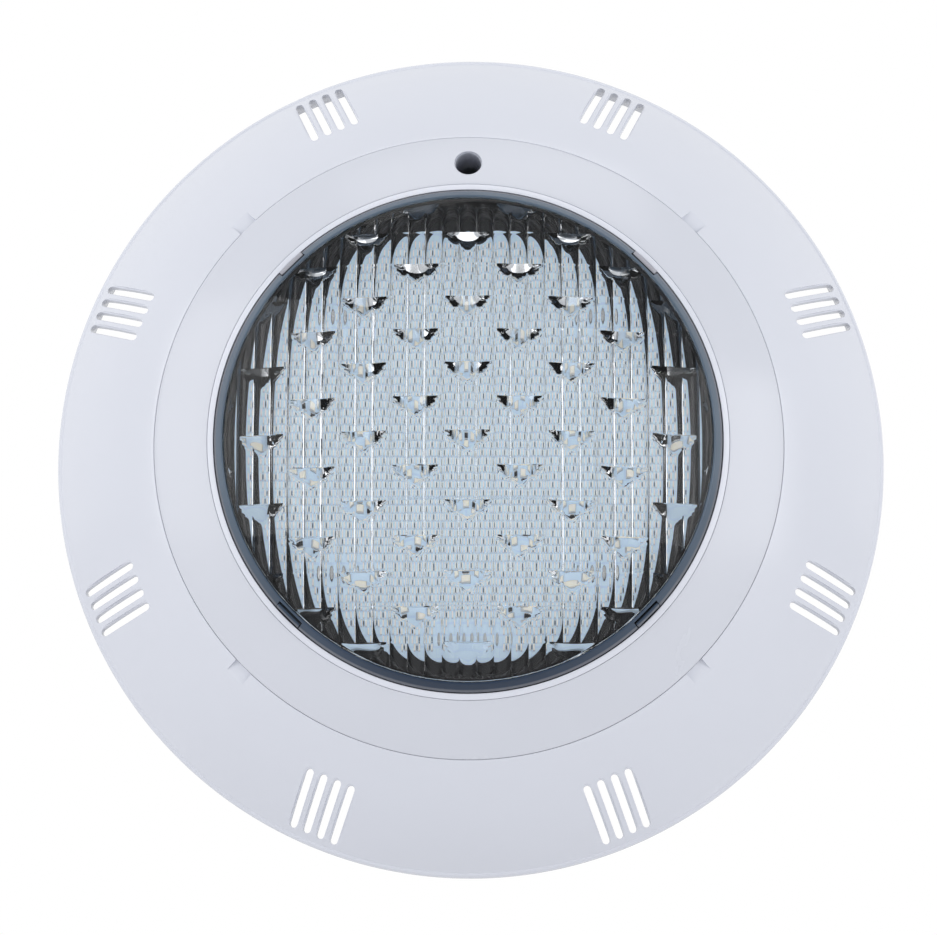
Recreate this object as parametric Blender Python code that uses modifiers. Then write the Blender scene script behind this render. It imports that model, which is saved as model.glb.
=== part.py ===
"""An underwater pool light that hangs on a wall bracket, as separate named pieces.

Blender 4.5, metres, +Z up. The light faces -Y and the pool wall is the plane Y = 0.
Most pieces are turned about the light's own axis, so they are modelled in a face frame:
its x is world X, its y is world Z, and its z is the distance from the wall ("depth").
"""

import math

import bmesh
import bpy
from mathutils import Matrix

MM = 0.001

# ---------------------------------------------------------------- driving sizes
FIT = 0.3 * MM                  # gap between pieces that touch
ROUND_STEPS = 48                # sides of every large turned piece
SMALL_STEPS = 20                # sides of small turned pieces
SCREW_STEPS = 12                # sides of screws

# Radii of the face, from the lens outwards.
OPENING_RADIUS = 85.5 * MM      # hole of the bezel's lip
LIP_WIDTH = 2.0 * MM            # white lip between the opening and the retaining ring
RING_WIDTH = 18.7 * MM          # radial width of the retaining ring
FLANGE_WIDTH = 38.2 * MM        # radial width of the face flange outside the ring
BAND_WIDTH = 3.1 * MM           # dark band round the lens
LENS_FLANGE_WIDTH = 6.2 * MM    # foot of the lens, clamped under the lip
BEZEL_WALL = 1.5 * MM
LEDGE_WIDTH = 2.5 * MM          # ledge of the flange that the ring's edge lies on
SEAT_WALL = 3.3 * MM
TONGUE_WALL = 1.6 * MM

# Depths, counted from the wall towards the viewer.
RIM_BACK = 4.0 * MM             # water gap behind the rim
RIM_FRONT = 12.0 * MM           # front edge of the rim
FACE_BULGE = 6.3 * MM           # how far the face's arc stands off the line from rim to lip
SHELL_WALL = 3.0 * MM
RING_WALL = 2.8 * MM
RIM_ROUNDING = 1.6 * MM
HOUSING_BACK = 12.0 * MM        # back of the lamp housing
HOUSING_WALL = 3.0 * MM
CAVITY_DEPTH = 31.0 * MM        # inside the housing, from its floor to the plate's ledge
HEAT_PLATE = 2.0 * MM
BOARD = 1.6 * MM
RIM_OVER_BOARD = 0.7 * MM
GASKET = 2.0 * MM
LENS_FOOT = 2.5 * MM
LENS_WALL = 3.0 * MM
LIP_HEIGHT = 7.7 * MM
SHOULDER_RISE = 3.5 * MM        # how far the lens's shoulder stands in front of the lip
LENS_CROWN = 15.7 * MM
HOUSING_STEP = 3.7 * MM         # housing rim's height over its fixing flange
HOUSING_FLANGE = 2.9 * MM
BEZEL_FLANGE = 2.0 * MM
WEB = 3.0 * MM                  # flange's inner web, which the lamp unit is screwed to

# Slots, hooks and screws of the face.
SLOT_GROUPS = 8
SLOTS_IN_GROUP = 4
SLOT_WIDTH = 2.7 * MM
SLOT_PITCH = 5.0 * MM
SLOT_LENGTH = 20.4 * MM
SLOT_TO_RIM = 3.6 * MM
PRY_WIDTH = 7.2 * MM            # recess where a blade lifts the ring
PRY_LENGTH = 4.6 * MM
PRY_DEPTH = 2.0 * MM
TONGUES = 4
TONGUE_WIDTH = 8.0 * MM
CLIPS = 4
CLIP_WIDTH = 10.0 * MM
CLIP_WALL = 1.6 * MM
CLIP_RISE = 0.7 * MM
UNIT_SCREWS = 6
UNIT_SCREW_TO_EDGE = 5.1 * MM
UNIT_SCREW_BOSS = 4.5 * MM      # radii of the bosses and holes of the screws
UNIT_SCREW_HOLE = 2.25 * MM
SMALL_SCREW_HOLE = 1.6 * MM
RIBS = 8
RIB_WALL = 2.0 * MM
RIB_TURN = math.radians(7)      # ribs stand beside the pry recesses, not under them

# Pilot screw, its tunnel, its post and the bracket.
PILOT_FROM_RING_EDGE = 8.4 * MM
PILOT_BORE = 9.2 * MM
PILOT_BORE_END = 8.2 * MM
TUNNEL_DEPTH = 24.0 * MM
TUNNEL_OUTER = 11.8 * MM
POST_OUTER = 17.0 * MM
POST_BACK = 10.0 * MM
POST_FLOOR_BACK = 15.5 * MM
POST_FLOOR = 3.5 * MM
PILOT_SHANK = 4.0 * MM
PILOT_HEAD = 7.2 * MM
PILOT_HEAD_HEIGHT = 4.0 * MM
PILOT_TIP = 3.0 * MM
PLATE = 3.5 * MM
PLATE_RADIUS = 60.0 * MM
ARM_RADIUS = 13.0 * MM
FIXING_HOLE = 5.2 * MM
FIXING_HEAD = 10.0 * MM
FIXING_PLACES = [(x * MM, y * MM) for x in (-40, 40) for y in (-23, 23)]
BOSS_OUTER = 14.0 * MM
BOSS_FRONT = 9.6 * MM
INSERT_OUTER = 6.4 * MM
SOCKET_X = 32.0 * MM
SOCKET_Y = -36.0 * MM
TONGUE_FOOT = (14.4 * MM, 3.6 * MM)
SOCKET_WALL = 3.0 * MM

# Lamp housing, cable gland and electronics.
HOUSING_TAPER = 6.0 * MM        # how much the housing narrows from front to back
PLATE_LEDGE = 4.5 * MM
BOARD_EDGE_GAP = 4.7 * MM       # LED board's edge to the housing's bore
GLAND_DEPTH = 27.5 * MM
GLAND_BOSS = 25.0 * MM
GLAND_BOSS_LENGTH = 3.5 * MM
GLAND_THREAD = 15.8 * MM
BOARD_SCREW_CIRCLE = 62.0 * MM
DRIVER_RADIUS = 50.0 * MM
DRIVER_LIFT = 8.3 * MM
DRIVER_POST_CIRCLE = 42.0 * MM
LEAD_RADIUS = 0.8 * MM
LEAD_HOLE = (5.0 * MM, -66.0 * MM)

# ---------------------------------------------------------------- sizes that follow
LIP_OUTER = OPENING_RADIUS + LIP_WIDTH
RING_INNER = LIP_OUTER + FIT
RING_OUTER = RING_INNER + RING_WIDTH
FLANGE_INNER = RING_OUTER + FIT
RIM_RADIUS = FLANGE_INNER + FLANGE_WIDTH
BAND_OUTER = OPENING_RADIUS - FIT
BAND_INNER = BAND_OUTER - BAND_WIDTH
LENS_RADIUS = BAND_INNER - FIT
LENS_FOOT_RADIUS = LENS_RADIUS + LENS_FLANGE_WIDTH
BEZEL_BORE = LENS_FOOT_RADIUS + FIT
BEZEL_OUTER = BEZEL_BORE + BEZEL_WALL
SEAT_INNER = FLANGE_INNER - LEDGE_WIDTH
SEAT_OUTER = SEAT_INNER + SEAT_WALL
TONGUE_OUTER = SEAT_INNER - FIT
TONGUE_INNER = TONGUE_OUTER - TONGUE_WALL
EAR_RADIUS = TONGUE_INNER - FIT
HOUSING_BORE = LENS_RADIUS - LENS_WALL - FIT
HOUSING_OUTER = HOUSING_BORE + HOUSING_WALL + 0.5 * MM
WEB_INNER = LENS_RADIUS + 4.7 * MM
BOARD_RADIUS = HOUSING_BORE - BOARD_EDGE_GAP

FLOOR = HOUSING_BACK + HOUSING_WALL
LEDGE = FLOOR + CAVITY_DEPTH
PLATE_BACK = LEDGE + FIT
PLATE_FRONT = PLATE_BACK + HEAT_PLATE
BOARD_BACK = PLATE_FRONT + FIT
BOARD_FRONT = BOARD_BACK + BOARD
HOUSING_FRONT = BOARD_FRONT + RIM_OVER_BOARD
GASKET_BACK = HOUSING_FRONT + FIT
GASKET_FRONT = GASKET_BACK + GASKET
FOOT_BACK = GASKET_FRONT + FIT
FOOT_FRONT = FOOT_BACK + LENS_FOOT
LIP_BACK = FOOT_FRONT + FIT
LIP_FRONT = LIP_BACK + LIP_HEIGHT
SHOULDER = LIP_FRONT + SHOULDER_RISE
APEX = SHOULDER + LENS_CROWN
EAR_FRONT = HOUSING_FRONT - HOUSING_STEP
EAR_BACK = EAR_FRONT - HOUSING_FLANGE
WEB_FRONT = EAR_BACK - FIT
WEB_BACK = WEB_FRONT - WEB
BEZEL_EAR_BACK = EAR_FRONT + FIT
BEZEL_EAR_FRONT = BEZEL_EAR_BACK + BEZEL_FLANGE

PILOT_Y = RING_INNER + PILOT_FROM_RING_EDGE
POST_FLOOR_FRONT = POST_FLOOR_BACK + POST_FLOOR
UNIT_SCREW_CIRCLE = EAR_RADIUS - UNIT_SCREW_TO_EDGE
DRIVER_BACK = FLOOR + DRIVER_LIFT
DRIVER_FRONT = DRIVER_BACK + BOARD
PART_BASE = DRIVER_FRONT + FIT
GLAND_FACE = HOUSING_OUTER + GLAND_BOSS_LENGTH


def face_circle():
    """Centre and radius of the arc that the whole face follows, in radius and depth."""
    run = RIM_RADIUS - OPENING_RADIUS
    rise = LIP_FRONT - RIM_FRONT
    chord = math.hypot(run, rise)
    radius = (chord * chord / 4 + FACE_BULGE**2) / (2 * FACE_BULGE)
    back = radius - FACE_BULGE
    middle_r = (RIM_RADIUS + OPENING_RADIUS) / 2
    middle_z = (LIP_FRONT + RIM_FRONT) / 2
    return middle_r - back * rise / chord, middle_z - back * run / chord, radius


FACE_R, FACE_Z, FACE_ARC = face_circle()


def face(radius, below=0.0):
    """Depth of the face at this radius, or of the surface that lies this far under it."""
    arc = FACE_ARC - below
    return FACE_Z + math.sqrt(arc * arc - (radius - FACE_R) ** 2)


def spread(start, end, count):
    """This many values from start to end."""
    return [start + (end - start) * i / (count - 1) for i in range(count)]


def around(count, first=0.0):
    """This many equal turns about the axis, in radians."""
    return [first + 2 * math.pi * i / count for i in range(count)]


def at(angle, radius, z=0.0):
    """A place on a circle, in the face frame."""
    return (radius * math.cos(angle), radius * math.sin(angle), z)


# ---------------------------------------------------------------- scene and helpers
for old in list(bpy.data.objects):
    bpy.data.objects.remove(old, do_unlink=True)

PARTS = bpy.data.collections.new("underwater_pool_light")
HELPERS = bpy.data.collections.new("cutters_and_joins")
bpy.context.scene.collection.children.link(PARTS)
bpy.context.scene.collection.children.link(HELPERS)


def material(name, colour, roughness, metallic=0.0, transmission=0.0):
    made = bpy.data.materials.new(name)
    made.use_nodes = True
    shader = made.node_tree.nodes["Principled BSDF"]
    shader.inputs["Base Color"].default_value = (*colour, 1.0)
    shader.inputs["Roughness"].default_value = roughness
    shader.inputs["Metallic"].default_value = metallic
    shader.inputs["Transmission Weight"].default_value = transmission
    return made


WHITE_ABS = material("white_abs", (0.80, 0.82, 0.86), 0.25)
GREY_ABS = material("grey_abs", (0.30, 0.32, 0.35), 0.45)
DARK_BAND = material("dark_band", (0.05, 0.09, 0.14), 0.18)
CLEAR = material("clear_polycarbonate", (0.95, 0.97, 1.0), 0.03, transmission=1.0)
DARK_HOUSING = material("dark_housing", (0.04, 0.045, 0.05), 0.4)
RUBBER = material("seal_rubber", (0.02, 0.02, 0.02), 0.7)
STEEL = material("stainless_steel", (0.60, 0.60, 0.60), 0.3, metallic=1.0)
BRASS = material("brass", (0.75, 0.56, 0.25), 0.3, metallic=1.0)
ALUMINIUM = material("aluminium", (0.75, 0.76, 0.78), 0.4, metallic=1.0)
BOARD_WHITE = material("board_white", (0.62, 0.72, 0.82), 0.35)
BOARD_GREEN = material("board_green", (0.03, 0.20, 0.09), 0.4)
COPPER = material("copper_winding", (0.72, 0.35, 0.18), 0.35, metallic=1.0)
BLACK_PLASTIC = material("black_plastic", (0.02, 0.02, 0.022), 0.4)
GREEN_PLASTIC = material("green_plastic", (0.05, 0.30, 0.12), 0.4)
RED_WIRE = material("red_wire", (0.50, 0.03, 0.02), 0.45)
BLACK_WIRE = material("black_wire", (0.02, 0.02, 0.02), 0.45)


def empty(name, parent=None, location=(0, 0, 0), rotation=(0, 0, 0)):
    made = bpy.data.objects.new(name, None)
    made.parent = parent
    made.location = location
    made.rotation_euler = rotation
    made.empty_display_size = 0.02
    PARTS.objects.link(made)
    return made


def add(name, mesh, parent, look=None):
    """Links a mesh as a part, or as a helper where it has no material."""
    made = bpy.data.objects.new(name, mesh)
    made.parent = parent
    if look is None:
        HELPERS.objects.link(made)
        made.hide_render = True
        made.display_type = "WIRE"
    else:
        PARTS.objects.link(made)
        mesh.materials.clear()
        mesh.materials.append(look)
    return made


def turned(name, profile, parent, look=None, steps=ROUND_STEPS, loop=True):
    """A profile of (radius, z) points, swept round z. Its outer side runs from front to back."""
    mesh = bpy.data.meshes.new(name)
    edges = [(i, i + 1) for i in range(len(profile) - 1)]
    if loop:
        edges.append((len(profile) - 1, 0))
    mesh.from_pydata([(r, 0, z) for r, z in profile], edges, [])
    made = add(name, mesh, parent, look)
    screw = made.modifiers.new("turn", "SCREW")
    screw.axis = "Z"
    screw.steps = steps
    screw.render_steps = steps
    screw.use_merge_vertices = True
    screw.merge_threshold = 0.00001
    screw.use_smooth_shade = False
    return made


def solid_mesh(name, pieces):
    """One mesh of several closed bodies, each a function that fills a bmesh."""
    form = bmesh.new()
    for fill in pieces:
        fill(form)
    mesh = bpy.data.meshes.new(name)
    form.to_mesh(mesh)
    form.free()
    return mesh


def rod(place, radius, back, front, steps=SMALL_STEPS, end_radius=None):
    """A cylinder along z, from back to front. end_radius is its radius at the back."""
    x, y = place[0], place[1]
    middle = Matrix.Translation((x, y, (back + front) / 2))

    def fill(form):
        bmesh.ops.create_cone(
            form, cap_ends=True, segments=steps, radius1=end_radius or radius,
            radius2=radius, depth=front - back, matrix=middle)

    return fill


def block(size, centre, turn=0.0):
    """A box whose centre is turned about the light's axis with it."""
    spin = Matrix.Rotation(turn, 4, "Z")
    stretch = Matrix.Diagonal((*size, 1.0))

    def fill(form):
        bmesh.ops.create_cube(
            form, size=1.0, matrix=spin @ Matrix.Translation(centre) @ stretch)

    return fill


def outline_mesh(name, outlines, half_thickness):
    """Flat outlines in x and y, each made a plate of this half thickness about z = 0."""
    curve = bpy.data.curves.new(name, "CURVE")
    curve.dimensions = "2D"
    curve.fill_mode = "BOTH"
    curve.extrude = half_thickness
    for points in outlines:
        spline = curve.splines.new("POLY")
        spline.points.add(len(points) - 1)
        for point, (x, y) in zip(spline.points, points):
            point.co = (x, y, 0, 1)
        spline.use_cyclic_u = True
    return curve_to_mesh(name, curve)


def curve_to_mesh(name, curve):
    """The closed mesh of a curve, its caps welded to its sides."""
    guide = bpy.data.objects.new(name + "_guide", curve)
    HELPERS.objects.link(guide)
    bpy.context.view_layer.update()
    graph = bpy.context.evaluated_depsgraph_get()
    mesh = bpy.data.meshes.new_from_object(guide.evaluated_get(graph))
    bpy.data.objects.remove(guide, do_unlink=True)
    form = bmesh.new()
    form.from_mesh(mesh)
    bmesh.ops.remove_doubles(form, verts=form.verts, dist=0.000001)
    bmesh.ops.recalc_face_normals(form, faces=form.faces)
    form.to_mesh(mesh)
    form.free()
    return mesh


def copies(name, mesh, matrices):
    """One mesh that holds a copy of another at each matrix."""
    form = bmesh.new()
    for matrix in matrices:
        before = len(form.verts)
        form.from_mesh(mesh)
        form.verts.ensure_lookup_table()
        bmesh.ops.transform(form, matrix=matrix, verts=form.verts[before:])
    made = bpy.data.meshes.new(name)
    form.to_mesh(made)
    form.free()
    return made


def change(target, tool, operation):
    step = target.modifiers.new(tool.name, "BOOLEAN")
    step.operation = operation
    step.solver = "EXACT"
    step.object = tool


def cut(target, tool):
    change(target, tool, "DIFFERENCE")


def join(target, tool):
    change(target, tool, "UNION")


def smooth(target):
    """Shades round faces smooth and keeps corners sharp, once the shape is finished."""
    graph = bpy.context.evaluated_depsgraph_get()
    mesh = bpy.data.meshes.new_from_object(target.evaluated_get(graph))
    target.modifiers.clear()
    target.data = mesh
    mesh.shade_smooth()
    mesh.set_sharp_from_angle(angle=math.radians(32))


# ---------------------------------------------------------------- frames of the bodies
FACE_TURN = (math.pi / 2, 0, 0)     # face z to world -Y, face y to world +Z
bracket = empty("bracket_frame", rotation=FACE_TURN)
lamp = empty("lamp_frame", rotation=FACE_TURN)
ring_body = empty("ring_frame", rotation=FACE_TURN)
pilot = empty("pilot_screw_axis", location=(0, 0, PILOT_Y), rotation=FACE_TURN)
gland = empty("gland_axis", lamp, (0, -GLAND_FACE, GLAND_DEPTH), FACE_TURN)


# ---------------------------------------------------------------- face flange
def stadium(length, width, steps=5):
    """A slot's outline along x, with round ends."""
    reach = (length - width) / 2
    right = [(reach + width / 2 * math.cos(a), width / 2 * math.sin(a))
             for a in spread(-math.pi / 2, math.pi / 2, steps)]
    return right + [(-x, -y) for x, y in right]


def make_slots():
    """Groups of parallel slots that let the water flow behind the flange."""
    middle = RIM_RADIUS - SLOT_TO_RIM - SLOT_LENGTH / 2
    one = outline_mesh("slot_outline", [stadium(SLOT_LENGTH, SLOT_WIDTH)], RIM_RADIUS / 2)
    places = []
    for turn in around(SLOT_GROUPS, math.pi / SLOT_GROUPS):
        for i in range(SLOTS_IN_GROUP):
            aside = (i - (SLOTS_IN_GROUP - 1) / 2) * SLOT_PITCH
            places.append(Matrix.Rotation(turn, 4, "Z") @ Matrix.Translation((middle, aside, 0)))
    return add("slot_cutter", copies("slot_cutter", one, places), lamp)


def make_pry_recesses():
    """Ramps that are deepest at the ring's edge, where a blade lifts the ring."""
    reach = FLANGE_INNER + PRY_LENGTH
    inside = FLANGE_INNER - LEDGE_WIDTH / 2
    beyond = FLANGE_INNER + 2 * PRY_LENGTH
    high = face(inside) + 2 * PRY_DEPTH
    climb = (face(reach) - face(FLANGE_INNER) + PRY_DEPTH) / PRY_LENGTH
    ramp = [(r, face(reach) + climb * (r - reach)) for r in (inside, beyond)]
    one = outline_mesh("pry_outline", [ramp + [(beyond, high), (inside, high)]], PRY_WIDTH / 2)
    stand = Matrix.Rotation(math.pi / 2, 4, "X")
    places = [Matrix.Rotation(turn, 4, "Z") @ stand for turn in around(TONGUES, math.pi / TONGUES)]
    return add("pry_cutter", copies("pry_cutter", one, places), lamp)


def make_ribs():
    """Stiffening ribs under the flange, between its seat wall and its rim."""
    inner = SEAT_OUTER - SEAT_WALL / 2
    outer = RIM_RADIUS - SHELL_WALL / 2
    buried = SHELL_WALL / 2
    top = [(r, face(r, buried)) for r in spread(outer, FLANGE_INNER + 0.5 * MM, 8)]
    side = [(outer, RIM_BACK + 3 * MM)] + top
    side += [(inner, face(FLANGE_INNER) - 2 * SHELL_WALL), (inner, WEB_BACK + 1 * MM)]
    one = outline_mesh("rib_outline", [side], RIB_WALL / 2)
    stand = Matrix.Rotation(math.pi / 2, 4, "X")
    places = [Matrix.Rotation(turn, 4, "Z") @ stand for turn in around(RIBS, RIB_TURN)]
    return add("flange_ribs", copies("flange_ribs", one, places), lamp)


def make_post_bore():
    """The tunnel's socket, the screw's chamber, its clearance hole and its seal pocket."""
    socket = TUNNEL_OUTER / 2 + FIT
    chamber = PILOT_HEAD / 2 + 1.6 * MM
    hole = PILOT_SHANK / 2 + FIT
    pocket = PILOT_SHANK / 2 + 2.5 * MM
    socket_back = face(PILOT_Y) - TUNNEL_DEPTH - FIT
    profile = [(0, LIP_FRONT), (socket, LIP_FRONT), (socket, socket_back), (chamber, socket_back),
               (chamber, POST_FLOOR_FRONT), (hole, POST_FLOOR_FRONT), (hole, POST_FLOOR_BACK),
               (pocket, POST_FLOOR_BACK), (pocket, 0), (0, 0)]
    cutter = turned("post_bore_cutter", profile, lamp, steps=SMALL_STEPS, loop=False)
    cutter.location.y = PILOT_Y
    return cutter


def make_flange():
    rim_edge = RIM_RADIUS - RIM_ROUNDING
    front = [(r, face(r)) for r in spread(FLANGE_INNER, rim_edge, 7)]
    edge = face(rim_edge)
    rounding = [(rim_edge + RIM_ROUNDING * math.sin(a), edge - RIM_ROUNDING * (1 - math.cos(a)) * 1.6)
                for a in (math.pi / 4, math.pi / 2)]
    skirt = RIM_RADIUS - SHELL_WALL
    under = [(r, face(r, SHELL_WALL)) for r in spread(skirt, SEAT_OUTER, 5)]
    seat = RING_WALL + FIT
    profile = front + rounding + [(RIM_RADIUS, RIM_BACK), (skirt, RIM_BACK)] + under
    profile += [(SEAT_OUTER, WEB_BACK), (WEB_INNER, WEB_BACK), (WEB_INNER, WEB_FRONT),
                (SEAT_INNER, WEB_FRONT), (SEAT_INNER, face(SEAT_INNER, seat)),
                (FLANGE_INNER, face(FLANGE_INNER, seat))]
    flange = turned("face_flange", profile, lamp, WHITE_ABS)
    bosses = [rod(at(a, UNIT_SCREW_CIRCLE), UNIT_SCREW_BOSS, WEB_BACK - 6 * MM, WEB_FRONT - WEB / 2, 16)
              for a in around(UNIT_SCREWS)]
    bosses.append(rod((0, PILOT_Y), POST_OUTER / 2, POST_BACK, WEB_FRONT - WEB / 3))
    holes = [rod(at(a, UNIT_SCREW_CIRCLE), UNIT_SCREW_HOLE, WEB_BACK - 4.5 * MM, LIP_FRONT,
                 SCREW_STEPS) for a in around(UNIT_SCREWS)]
    join(flange, make_ribs())
    join(flange, add("flange_bosses", solid_mesh("flange_bosses", bosses), lamp))
    cut(flange, add("flange_holes", solid_mesh("flange_holes", holes), lamp))
    cut(flange, make_post_bore())
    cut(flange, make_slots())
    cut(flange, make_pry_recesses())
    return flange


# ---------------------------------------------------------------- retaining ring
def make_tunnel():
    """The tube under the ring that leads to the pilot screw. Its top follows the face."""
    mesh = solid_mesh("screw_tunnel", [
        rod((0, PILOT_Y), TUNNEL_OUTER / 2, face(PILOT_Y) - TUNNEL_DEPTH, LIP_FRONT)])
    for vertex in mesh.vertices:
        if vertex.co.z > LIP_FRONT - FIT:
            vertex.co.z = face(math.hypot(vertex.co.x, vertex.co.y), RING_WALL / 2)
    return add("screw_tunnel", mesh, ring_body)


def make_ring():
    front = [(r, face(r)) for r in spread(RING_INNER, RING_OUTER, 4)]
    under = [(r, face(r, RING_WALL)) for r in spread(RING_OUTER, RING_INNER, 4)]
    ring = turned("retaining_ring", front + under, ring_body, WHITE_ABS)
    top = face(TONGUE_INNER, RING_WALL / 2)
    bottom = WEB_FRONT + 2 * MM
    middle = ((TONGUE_INNER + TONGUE_OUTER) / 2, 0, (top + bottom) / 2)
    size = (TONGUE_WALL, TONGUE_WIDTH, top - bottom)
    tongues = [block(size, middle, turn) for turn in around(TONGUES, math.pi / TONGUES)]
    bore = rod((0, PILOT_Y), PILOT_BORE / 2, face(PILOT_Y) - TUNNEL_DEPTH - 1 * MM,
               face(PILOT_Y) + 6 * MM, end_radius=PILOT_BORE_END / 2)
    join(ring, make_tunnel())
    join(ring, add("ring_tongues", solid_mesh("ring_tongues", tongues), ring_body))
    cut(ring, add("pilot_bore_cutter", solid_mesh("pilot_bore_cutter", [bore]), ring_body))
    return ring


# ---------------------------------------------------------------- lens and what holds it
def make_bezel():
    """White lip round the lens, with a skirt and a flange that clamp the lens and the housing."""
    under_ring = RING_WALL + FIT + 0.2 * MM
    profile = [(OPENING_RADIUS, LIP_FRONT), (LIP_OUTER, face(LIP_OUTER)),
               (LIP_OUTER, face(LIP_OUTER, under_ring)), (BEZEL_OUTER, face(BEZEL_OUTER, under_ring)),
               (BEZEL_OUTER, BEZEL_EAR_FRONT), (EAR_RADIUS, BEZEL_EAR_FRONT),
               (EAR_RADIUS, BEZEL_EAR_BACK), (BEZEL_BORE, BEZEL_EAR_BACK),
               (BEZEL_BORE, LIP_BACK), (OPENING_RADIUS, LIP_BACK)]
    bezel = turned("lens_bezel", profile, lamp, WHITE_ABS)
    cut(bezel, ear_holes("bezel_holes"))
    return bezel


def ear_holes(name):
    """Holes for the unit screws, and the clearance for the pilot screw's tunnel."""
    holes = [rod(at(a, UNIT_SCREW_CIRCLE), UNIT_SCREW_HOLE, WEB_BACK, LIP_FRONT, SCREW_STEPS)
             for a in around(UNIT_SCREWS)]
    holes.append(rod((0, PILOT_Y), TUNNEL_OUTER / 2 + FIT, WEB_BACK, LIP_FRONT))
    return add(name, solid_mesh(name, holes), lamp)


def crown(edge_radius, edge, height, steps):
    """Points of a spherical cap from its top to its edge."""
    radius = (edge_radius**2 + height**2) / (2 * height)
    return [(r, edge + height - radius + math.sqrt(radius * radius - r * r))
            for r in spread(0, edge_radius, steps)]


def make_lens():
    inner = LENS_RADIUS - LENS_WALL
    outside = crown(LENS_RADIUS, SHOULDER, LENS_CROWN, 6)
    inside = crown(inner, SHOULDER - LENS_WALL * 0.7, LENS_CROWN - LENS_WALL * 0.3, 5)
    foot = [(LENS_RADIUS, FOOT_FRONT), (LENS_FOOT_RADIUS, FOOT_FRONT),
            (LENS_FOOT_RADIUS, FOOT_BACK), (inner, FOOT_BACK)]
    return turned("lens", outside + foot + inside[::-1], lamp, CLEAR, loop=False)


def make_band():
    """Dark glossy ring between the lens and the lip, notched for the clips."""
    profile = [(BAND_INNER, SHOULDER + FIT), (BAND_INNER + 0.6 * MM, SHOULDER + FIT),
               (BAND_OUTER, LIP_FRONT + FIT), (BAND_OUTER, LIP_BACK), (BAND_INNER, LIP_BACK)]
    band = turned("lens_ring", profile, lamp, DARK_BAND)
    low = LIP_BACK + 2 * MM
    high = SHOULDER + 2 * MM
    inner = BAND_OUTER - CLIP_WALL - 2 * FIT
    outer = BAND_OUTER + 1 * MM
    size = (outer - inner, CLIP_WIDTH + 2 * FIT, high - low)
    centre = ((inner + outer) / 2, 0, (low + high) / 2)
    notches = [block(size, centre, turn) for turn in around(CLIPS, math.pi / CLIPS)]
    cut(band, add("clip_notches", solid_mesh("clip_notches", notches), lamp))
    return band


def make_clip(number, turn):
    """A latch that holds the dark ring down under the lip."""
    low = LIP_BACK + 2 * MM + FIT
    high = (SHOULDER + LIP_FRONT) / 2 + CLIP_RISE
    middle = BAND_OUTER - CLIP_WALL / 2 - 0.1 * MM
    name = f"lens_clip_{number}"
    mesh = solid_mesh(name, [
        block((CLIP_WALL - 0.2 * MM, CLIP_WIDTH, high - low), (middle, 0, (low + high) / 2), turn)])
    return add(name, mesh, lamp, DARK_BAND)


def make_gasket():
    inner = HOUSING_BORE + 1.5 * MM
    outer = LENS_FOOT_RADIUS
    profile = [(inner, GASKET_FRONT), (outer, GASKET_FRONT), (outer, GASKET_BACK), (inner, GASKET_BACK)]
    return turned("lens_gasket", profile, lamp, RUBBER)


# ---------------------------------------------------------------- lamp housing
def make_housing():
    back_outer = HOUSING_OUTER - HOUSING_TAPER
    ledge_inner = HOUSING_BORE - PLATE_LEDGE
    corner = 5 * MM
    profile = [(HOUSING_BORE, HOUSING_FRONT), (LENS_FOOT_RADIUS, HOUSING_FRONT),
               (LENS_FOOT_RADIUS, EAR_FRONT), (EAR_RADIUS, EAR_FRONT), (EAR_RADIUS, EAR_BACK),
               (HOUSING_OUTER, EAR_BACK), (back_outer, HOUSING_BACK + corner)]
    profile += [(back_outer - corner * (1 - math.cos(a)), HOUSING_BACK + corner * (1 - math.sin(a)))
                for a in (math.pi / 4, math.pi / 2)]
    inner_corner = back_outer - HOUSING_WALL
    profile += [(0, HOUSING_BACK), (0, FLOOR), (inner_corner - corner, FLOOR),
                (inner_corner, FLOOR + corner), (ledge_inner, LEDGE - 4 * MM),
                (ledge_inner, LEDGE), (HOUSING_BORE, LEDGE)]
    housing = turned("lamp_housing", profile, lamp, DARK_HOUSING)
    posts = [rod(at(a, DRIVER_POST_CIRCLE), 4 * MM, FLOOR - 1 * MM, DRIVER_BACK - FIT, SCREW_STEPS)
             for a in around(3, math.pi / 2)]
    feet = [block((*TONGUE_FOOT, FLOOR - 1 * MM - PLATE - 2 * MM),
                  (side * SOCKET_X, SOCKET_Y, (FLOOR - 1 * MM + PLATE + 2 * MM) / 2))
            for side in (-1, 1)]
    holes = [rod(at(a, DRIVER_POST_CIRCLE), SMALL_SCREW_HOLE, FLOOR + 2 * MM, LIP_FRONT, SCREW_STEPS)
             for a in around(3, math.pi / 2)]
    join(housing, add("housing_posts", solid_mesh("housing_posts", posts + feet), lamp))
    join(housing, gland_boss())
    cut(housing, gland_hole())
    cut(housing, add("driver_holes", solid_mesh("driver_holes", holes), lamp))
    cut(housing, ear_holes("housing_ear_holes"))
    return housing


def gland_boss():
    """Flat seat on the housing's side for the cable gland."""
    inside = HOUSING_WALL + HOUSING_TAPER + GLAND_BOSS_LENGTH
    mesh = solid_mesh("gland_boss", [rod((0, 0), GLAND_BOSS / 2, -inside, 0)])
    return add("gland_boss", mesh, gland)


def gland_hole():
    """The gland's hole. It also trims the boss flush with the housing's inside."""
    mesh = solid_mesh("gland_hole", [rod((0, 0), GLAND_THREAD / 2 + FIT, -25 * MM, 5 * MM)])
    return add("gland_hole", mesh, gland)


# ---------------------------------------------------------------- screws
def make_screw(name, parent, shank, head, head_height, seat, tip, steps=SCREW_STEPS):
    """A pan-head screw along z: head in front of its seat, shank down to its tip."""
    dome = head_height * 0.35
    profile = [(0, seat + head_height), (head / 2 - dome, seat + head_height),
               (head / 2, seat + head_height - dome), (head / 2, seat), (shank / 2, seat),
               (shank / 2, tip), (0, tip)]
    return turned(name, profile, parent, STEEL, steps=steps, loop=False)


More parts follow.
